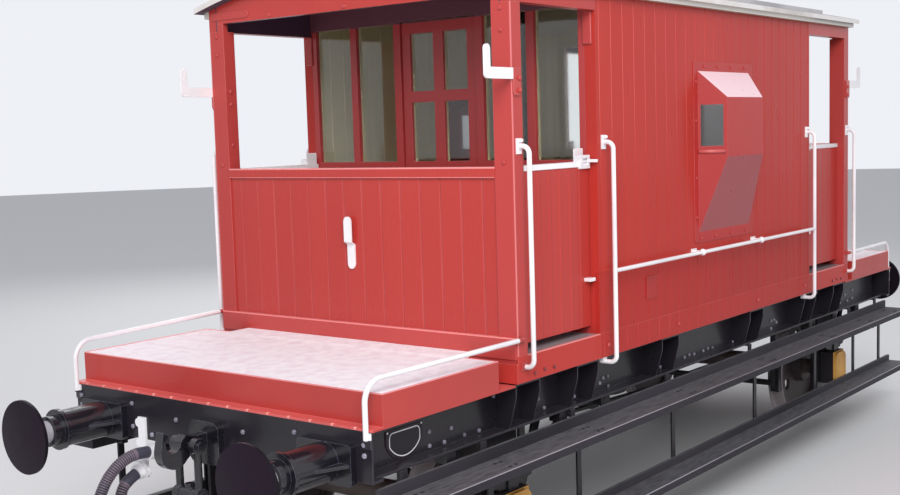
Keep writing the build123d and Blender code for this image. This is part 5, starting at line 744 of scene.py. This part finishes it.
# Cabin ends and their doors
# Framed and boarded ends with tall fixed windows and a glazed door, red outside and cream from the glass
# inwards. The doors hang on pins and swing into the cabin. The lookouts' small panes are hazed by weather.
HEAD_SHADE_Z, GLASS_X = 3.36, 1.5885
GLASS_IOR, FILM_SCALE, FILM_ROUGH, HAZE_Y, HAZE_ROUGH = 1.48, 7, 0.09, 1.19, 0.4
# Its edge tone is a painted highlight along the cabin ends' edges.
cabin_paint = finish("cabin_paint", (180, 62, 62), (164, 56, 58), 0.3, speck=11, grain=(1, 1, 0.25),
                     bump=0.07, coat=0.18, edge=((206, 116, 118), 0.004),
                     zones=(((108, 66, 76), (92, 54, 64), {"z": (HEAD_SHADE_Z, FAR)}),
                            (cream, cream_shade, {"|x|": (0, GLASS_X)})))
dress(cabin_paint, "cabin_end_a", "cabin_end_b", "cabin_door_a", "cabin_door_b")
pane = bpy.data.materials.new("clear_glass")
pane.use_nodes = True
tree = pane.node_tree
shader = tree.nodes["Principled BSDF"]
shader.inputs["Transmission Weight"].default_value = 1.0
shader.inputs["IOR"].default_value = GLASS_IOR
where = tree.nodes.new("ShaderNodeTexCoord")
axes = tree.nodes.new("ShaderNodeSeparateXYZ")
tree.links.new(where.outputs["Object"], axes.inputs[0])
in_lookout = sums(tree, "GREATER_THAN", sums(tree, "ABSOLUTE", axes.outputs[1]), HAZE_Y)
film = ramp(tree, noise(tree, FILM_SCALE), 0, 1, 0, FILM_ROUGH)
tree.links.new(sums(tree, "MULTIPLY_ADD", in_lookout, HAZE_ROUGH, film), shader.inputs["Roughness"])
tree.links.new(over(tree, (248, 250, 248), (150, 150, 152), in_lookout), shader.inputs["Base Color"])
dress(pane, "window_glass", "cabin_door_glass_a", "cabin_door_glass_b")

# Side doors
# Half-height boarded doors on strap hinges, red, with a white top rail, a white cast latch at the free end
# and a small bolt lower down.
DOOR_W, DOOR_BOARDS, DOOR_X, DOOR_JOINT, TOP_RAIL_Z = 0.7540, 7, 1.629, 0.003, 2.4205
LATCH_PLATE = ((1.640, 1.086, 2.440), (1.738, 1.096, 2.530))
LATCH_SADDLE = ((1.634, 1.092, 2.424), (1.742, 1.122, 2.482))
LATCH_FRAME = (((1.634, 1.118, 2.470), (1.742, 1.140, 2.490)), ((1.634, 1.118, 2.410), (1.742, 1.140, 2.432)),
               ((1.712, 1.118, 2.426), (1.742, 1.140, 2.476)), ((1.634, 1.118, 2.426), (1.654, 1.140, 2.476)))
LATCH_BAR = ((1.640, 1.124, 2.446), (1.722, 1.137, 2.458))
LATCH_HANDLE = ((1.636, 1.134, 2.446), (1.656, 1.196, 2.464))
LOW_BOLT, LATCH_EASE = ((1.636, 1.116, 1.742), (1.696, 1.166, 1.763)), 0.0025
rail_white = finish("rail_white", white, white_shade, 0.28, speck=30, bump=0.05, coat=0.4)
# Its edge tone is a painted highlight along the doors' edges and joints.
door_boards = finish("door_boards", red, red_shade, 0.3, speck=10, grain=(1, 1, 0.2), bump=0.07, coat=0.18,
                     shine=0.2, edge=((198, 82, 78), 0.004),
                     boards=("x", DOOR_W / DOOR_BOARDS, DOOR_X, (150, 54, 52), DOOR_JOINT),
                     zones=((white, white_shade, {"z": (TOP_RAIL_Z, FAR)}),))
for end, letter in ((-1, "a"), (1, "b")):
    for flank, side_name in ((-1, "near"), (1, "far")):
        door = "side_door_" + letter + "_" + side_name
        dress(door_boards, door)
        latch = [moved_to(box, end, flank)
                 for box in (LATCH_PLATE, *LATCH_FRAME, LATCH_BAR, LATCH_SADDLE, LATCH_HANDLE, LOW_BOLT)]
        blocks("latch_" + letter + "_" + side_name, latch, LATCH_EASE, rail_white, door)

# Wall battens
# A short red batten stiffens the top of each cabin end beside the doorways.
BATTEN, BATTEN_EASE = ((1.620, 1.100, 3.135), (1.634, 1.160, 3.330)), 0.003
blocks("wall_battens", on_corners(BATTEN), BATTEN_EASE, frame_red)

# Roof
# Boards under painted felt, pale grey, with a white painted edge; pale cornices close the sides, rain strips
# lie above the doorways, and an iron chimney stands over the stove.
FACES_OUT, FACES_DOWN, CORNICE_DOWN = (-0.35, 0.35), (-FAR, -0.35), (-FAR, -0.5)
dress(finish("roof_felt", (196, 193, 196), (178, 175, 180), 0.8, speck=40, bump=0.6,
             dust=((170, 166, 168), 0.5),
             zones=(((232, 228, 226), (206, 200, 196), {"up": FACES_OUT}),
                    # painted shade: the roof's underside over the verandahs is dark purple
                    ((104, 84, 96), (84, 68, 82), {"up": FACES_DOWN, "|x|": (CABIN_X, FAR)}),
                    ((244, 238, 222), (232, 226, 208), {"up": FACES_DOWN, "|x|": (0, CABIN_X)}))), "roof")
dress(finish("cornice_paint", (214, 210, 206), (186, 184, 176), 0.45, speck=24, grain=(0.3, 1, 1), bump=0.15,
             # painted shade on the cornices' faces that turn down
             coat=0.2, zones=(((176, 172, 152), (140, 138, 118), {"up": CORNICE_DOWN}),)), "cornices")
dress(finish("strip_paint", (200, 198, 200), (176, 174, 178), 0.6, speck=40, bump=0.2), "rain_strips")
dress(finish("chimney_iron", (66, 62, 64), (48, 45, 48), 0.6, speck=45, bump=0.4, dust=((104, 92, 86), 0.4)),
      "chimney")

# Handrails and lamp irons
# Bent steel bars and forged brackets, bolted to the posts and walls: white where a hand or a lamp goes,
# red where the plates lie on the red frame.
PALM_X, PALM_Y, PALM_Z = 2.3, 1.1995, 1.5
PALM_BOLT, PALM_FACE_Y, UPPER_PALM_Z, UPPER_PALMS_X = (0.011, 0.024), 1.198, 2.592, (2.435, 1.556)
MIDDLE_PALMS_X, MIDDLE_PALM_BOLTS_Z = (0.403, -0.540), (1.826, 1.770)
IRON_BOLT, IRON_BOLT_X, IRON_BOLT_Y, IRON_BOLTS_Z = (0.014, 0.014), 2.430, 1.190, (2.924, 2.858)
IRON_RED_X, IRON_RED_Y = 2.4805, 1.1
dress(finish("handrail_paint", white, white_shade, 0.28, speck=30, bump=0.05, coat=0.4,
             zones=(((188, 76, 72), (170, 68, 66),
                     {"|x|": (PALM_X, FAR), "|y|": (0, PALM_Y), "z": (0, PALM_Z)}),)), "side_handrails")
iron_paint = finish("iron_paint", white, white_shade, 0.28, speck=30, bump=0.05, coat=0.4,
                    edge=((214, 206, 210), 0.002),
                    zones=(((190, 66, 60), (172, 58, 54),
                            {"|x|": (0, IRON_RED_X), "|y|": (IRON_RED_Y, FAR)}),))
dress(iron_paint, "lamp_irons")
PAD_IN, PAD_LOW, PAD_CUT_X, PAD_CUT_Z, IRON_T = 2.414, 2.833, 0.010, 0.018, 0.012
ARM_LOW, ARM_TOP, PRONG_X, PRONG_HALF, PRONG_TOP = 2.918, 2.978, 2.709, 0.025, 3.096
KNEE_RISE, KNEE_STEPS, TIP_STEPS = 0.027, 6, 8
TAIL_Y, TAIL_HALF, TAIL_T, TAIL_X, TAIL_OFFSET = 0.020, 0.029, 0.010, 2.470, 0.027
# Each row of the tail lamp iron: its height, its share of the half width, and 1 where it is set out.
TAIL_ROWS = ((1.851, 0.30, 0), (1.856, 0.62, 0), (1.866, 0.87, 0), (1.880, 1.0, 0), (1.997, 1.0, 0),
             (2.013, 1.0, 1), (2.136, 1.0, 1), (2.150, 0.87, 1), (2.160, 0.62, 1), (2.165, 0.30, 1))
tip_z = PRONG_TOP - PRONG_HALF
side_iron = [(POST_X, ARM_LOW)]
side_iron += [(PRONG_X + PRONG_HALF * math.sin(t), ARM_LOW + KNEE_RISE * (1 - math.cos(t)))
              for t in (math.pi / 2 * k / KNEE_STEPS for k in range(KNEE_STEPS + 1))]
side_iron += [(PRONG_X + PRONG_HALF * math.cos(t), tip_z + PRONG_HALF * math.sin(t))
              for t in (math.pi * k / TIP_STEPS for k in range(TIP_STEPS + 1))]
side_iron += [(PRONG_X - PRONG_HALF, ARM_TOP), (PAD_IN, ARM_TOP), (PAD_IN, PAD_LOW + PAD_CUT_Z),
              (PAD_IN + PAD_CUT_X, PAD_LOW), (POST_X - PAD_CUT_X, PAD_LOW), (POST_X, PAD_LOW + PAD_CUT_Z)]
irons = bmesh.new()
for end in (-1, 1):
    for flank in (-1, 1):
        join_loops(irons, [[irons.verts.new((end * x, flank * (WALL_Y + lift), z)) for x, z in side_iron]
                           for lift in (0, IRON_T)])
for end in (-1, 1):
    rows = []
    for z, share, out in TAIL_ROWS:
        back = TAIL_X + out * TAIL_OFFSET
        half = TAIL_HALF * share
        corners = ((back, -half), (back + TAIL_T, -half), (back + TAIL_T, half), (back, half))
        rows.append([irons.verts.new((end * x, -end * (TAIL_Y + y), z)) for x, y in corners])
    join_loops(irons, rows)
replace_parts(place_piece("lamp_brackets", irons, iron_paint), "lamp_irons")
palm_bolts = all_corners([(x, PALM_FACE_Y, UPPER_PALM_Z) for x in UPPER_PALMS_X], TO_SIDE)
palm_bolts += half_turned([(x, -PALM_FACE_Y, z) for x in MIDDLE_PALMS_X for z in MIDDLE_PALM_BOLTS_Z],
                          TO_MIDDLE)
bolt_heads("palm_bolts", "side_handrails", palm_bolts, PALM_BOLT, rail_white, sides=10)
iron_bolts = all_corners([(IRON_BOLT_X, IRON_BOLT_Y, z) for z in IRON_BOLTS_Z], TO_SIDE)
bolt_heads("iron_bolts", "lamp_irons", iron_bolts, IRON_BOLT, frame_red)

# Inside the cabin
# Seen through the glass: an iron stove on its hearth with the flue to the roof, the guard's handbrake
# column, and two varnished benches along the walls.
HUB_Z = (2.27, 2.33)
dress(finish("stove_iron", (58, 54, 54), (40, 38, 39), 0.5, speck=60, bump=0.35), "stove")
dress(finish("column_paint", (150, 52, 48), (122, 44, 42), 0.35, speck=40, bump=0.1, coat=0.4,
             zones=(((196, 192, 190), (160, 156, 156), {"z": HUB_Z}),)), "brake_column")
dress(finish("bench_timber", (176, 134, 92), (140, 102, 68), 0.45, speck=30, grain=(0.1, 2, 2), bump=0.2,
             coat=0.3), "benches")
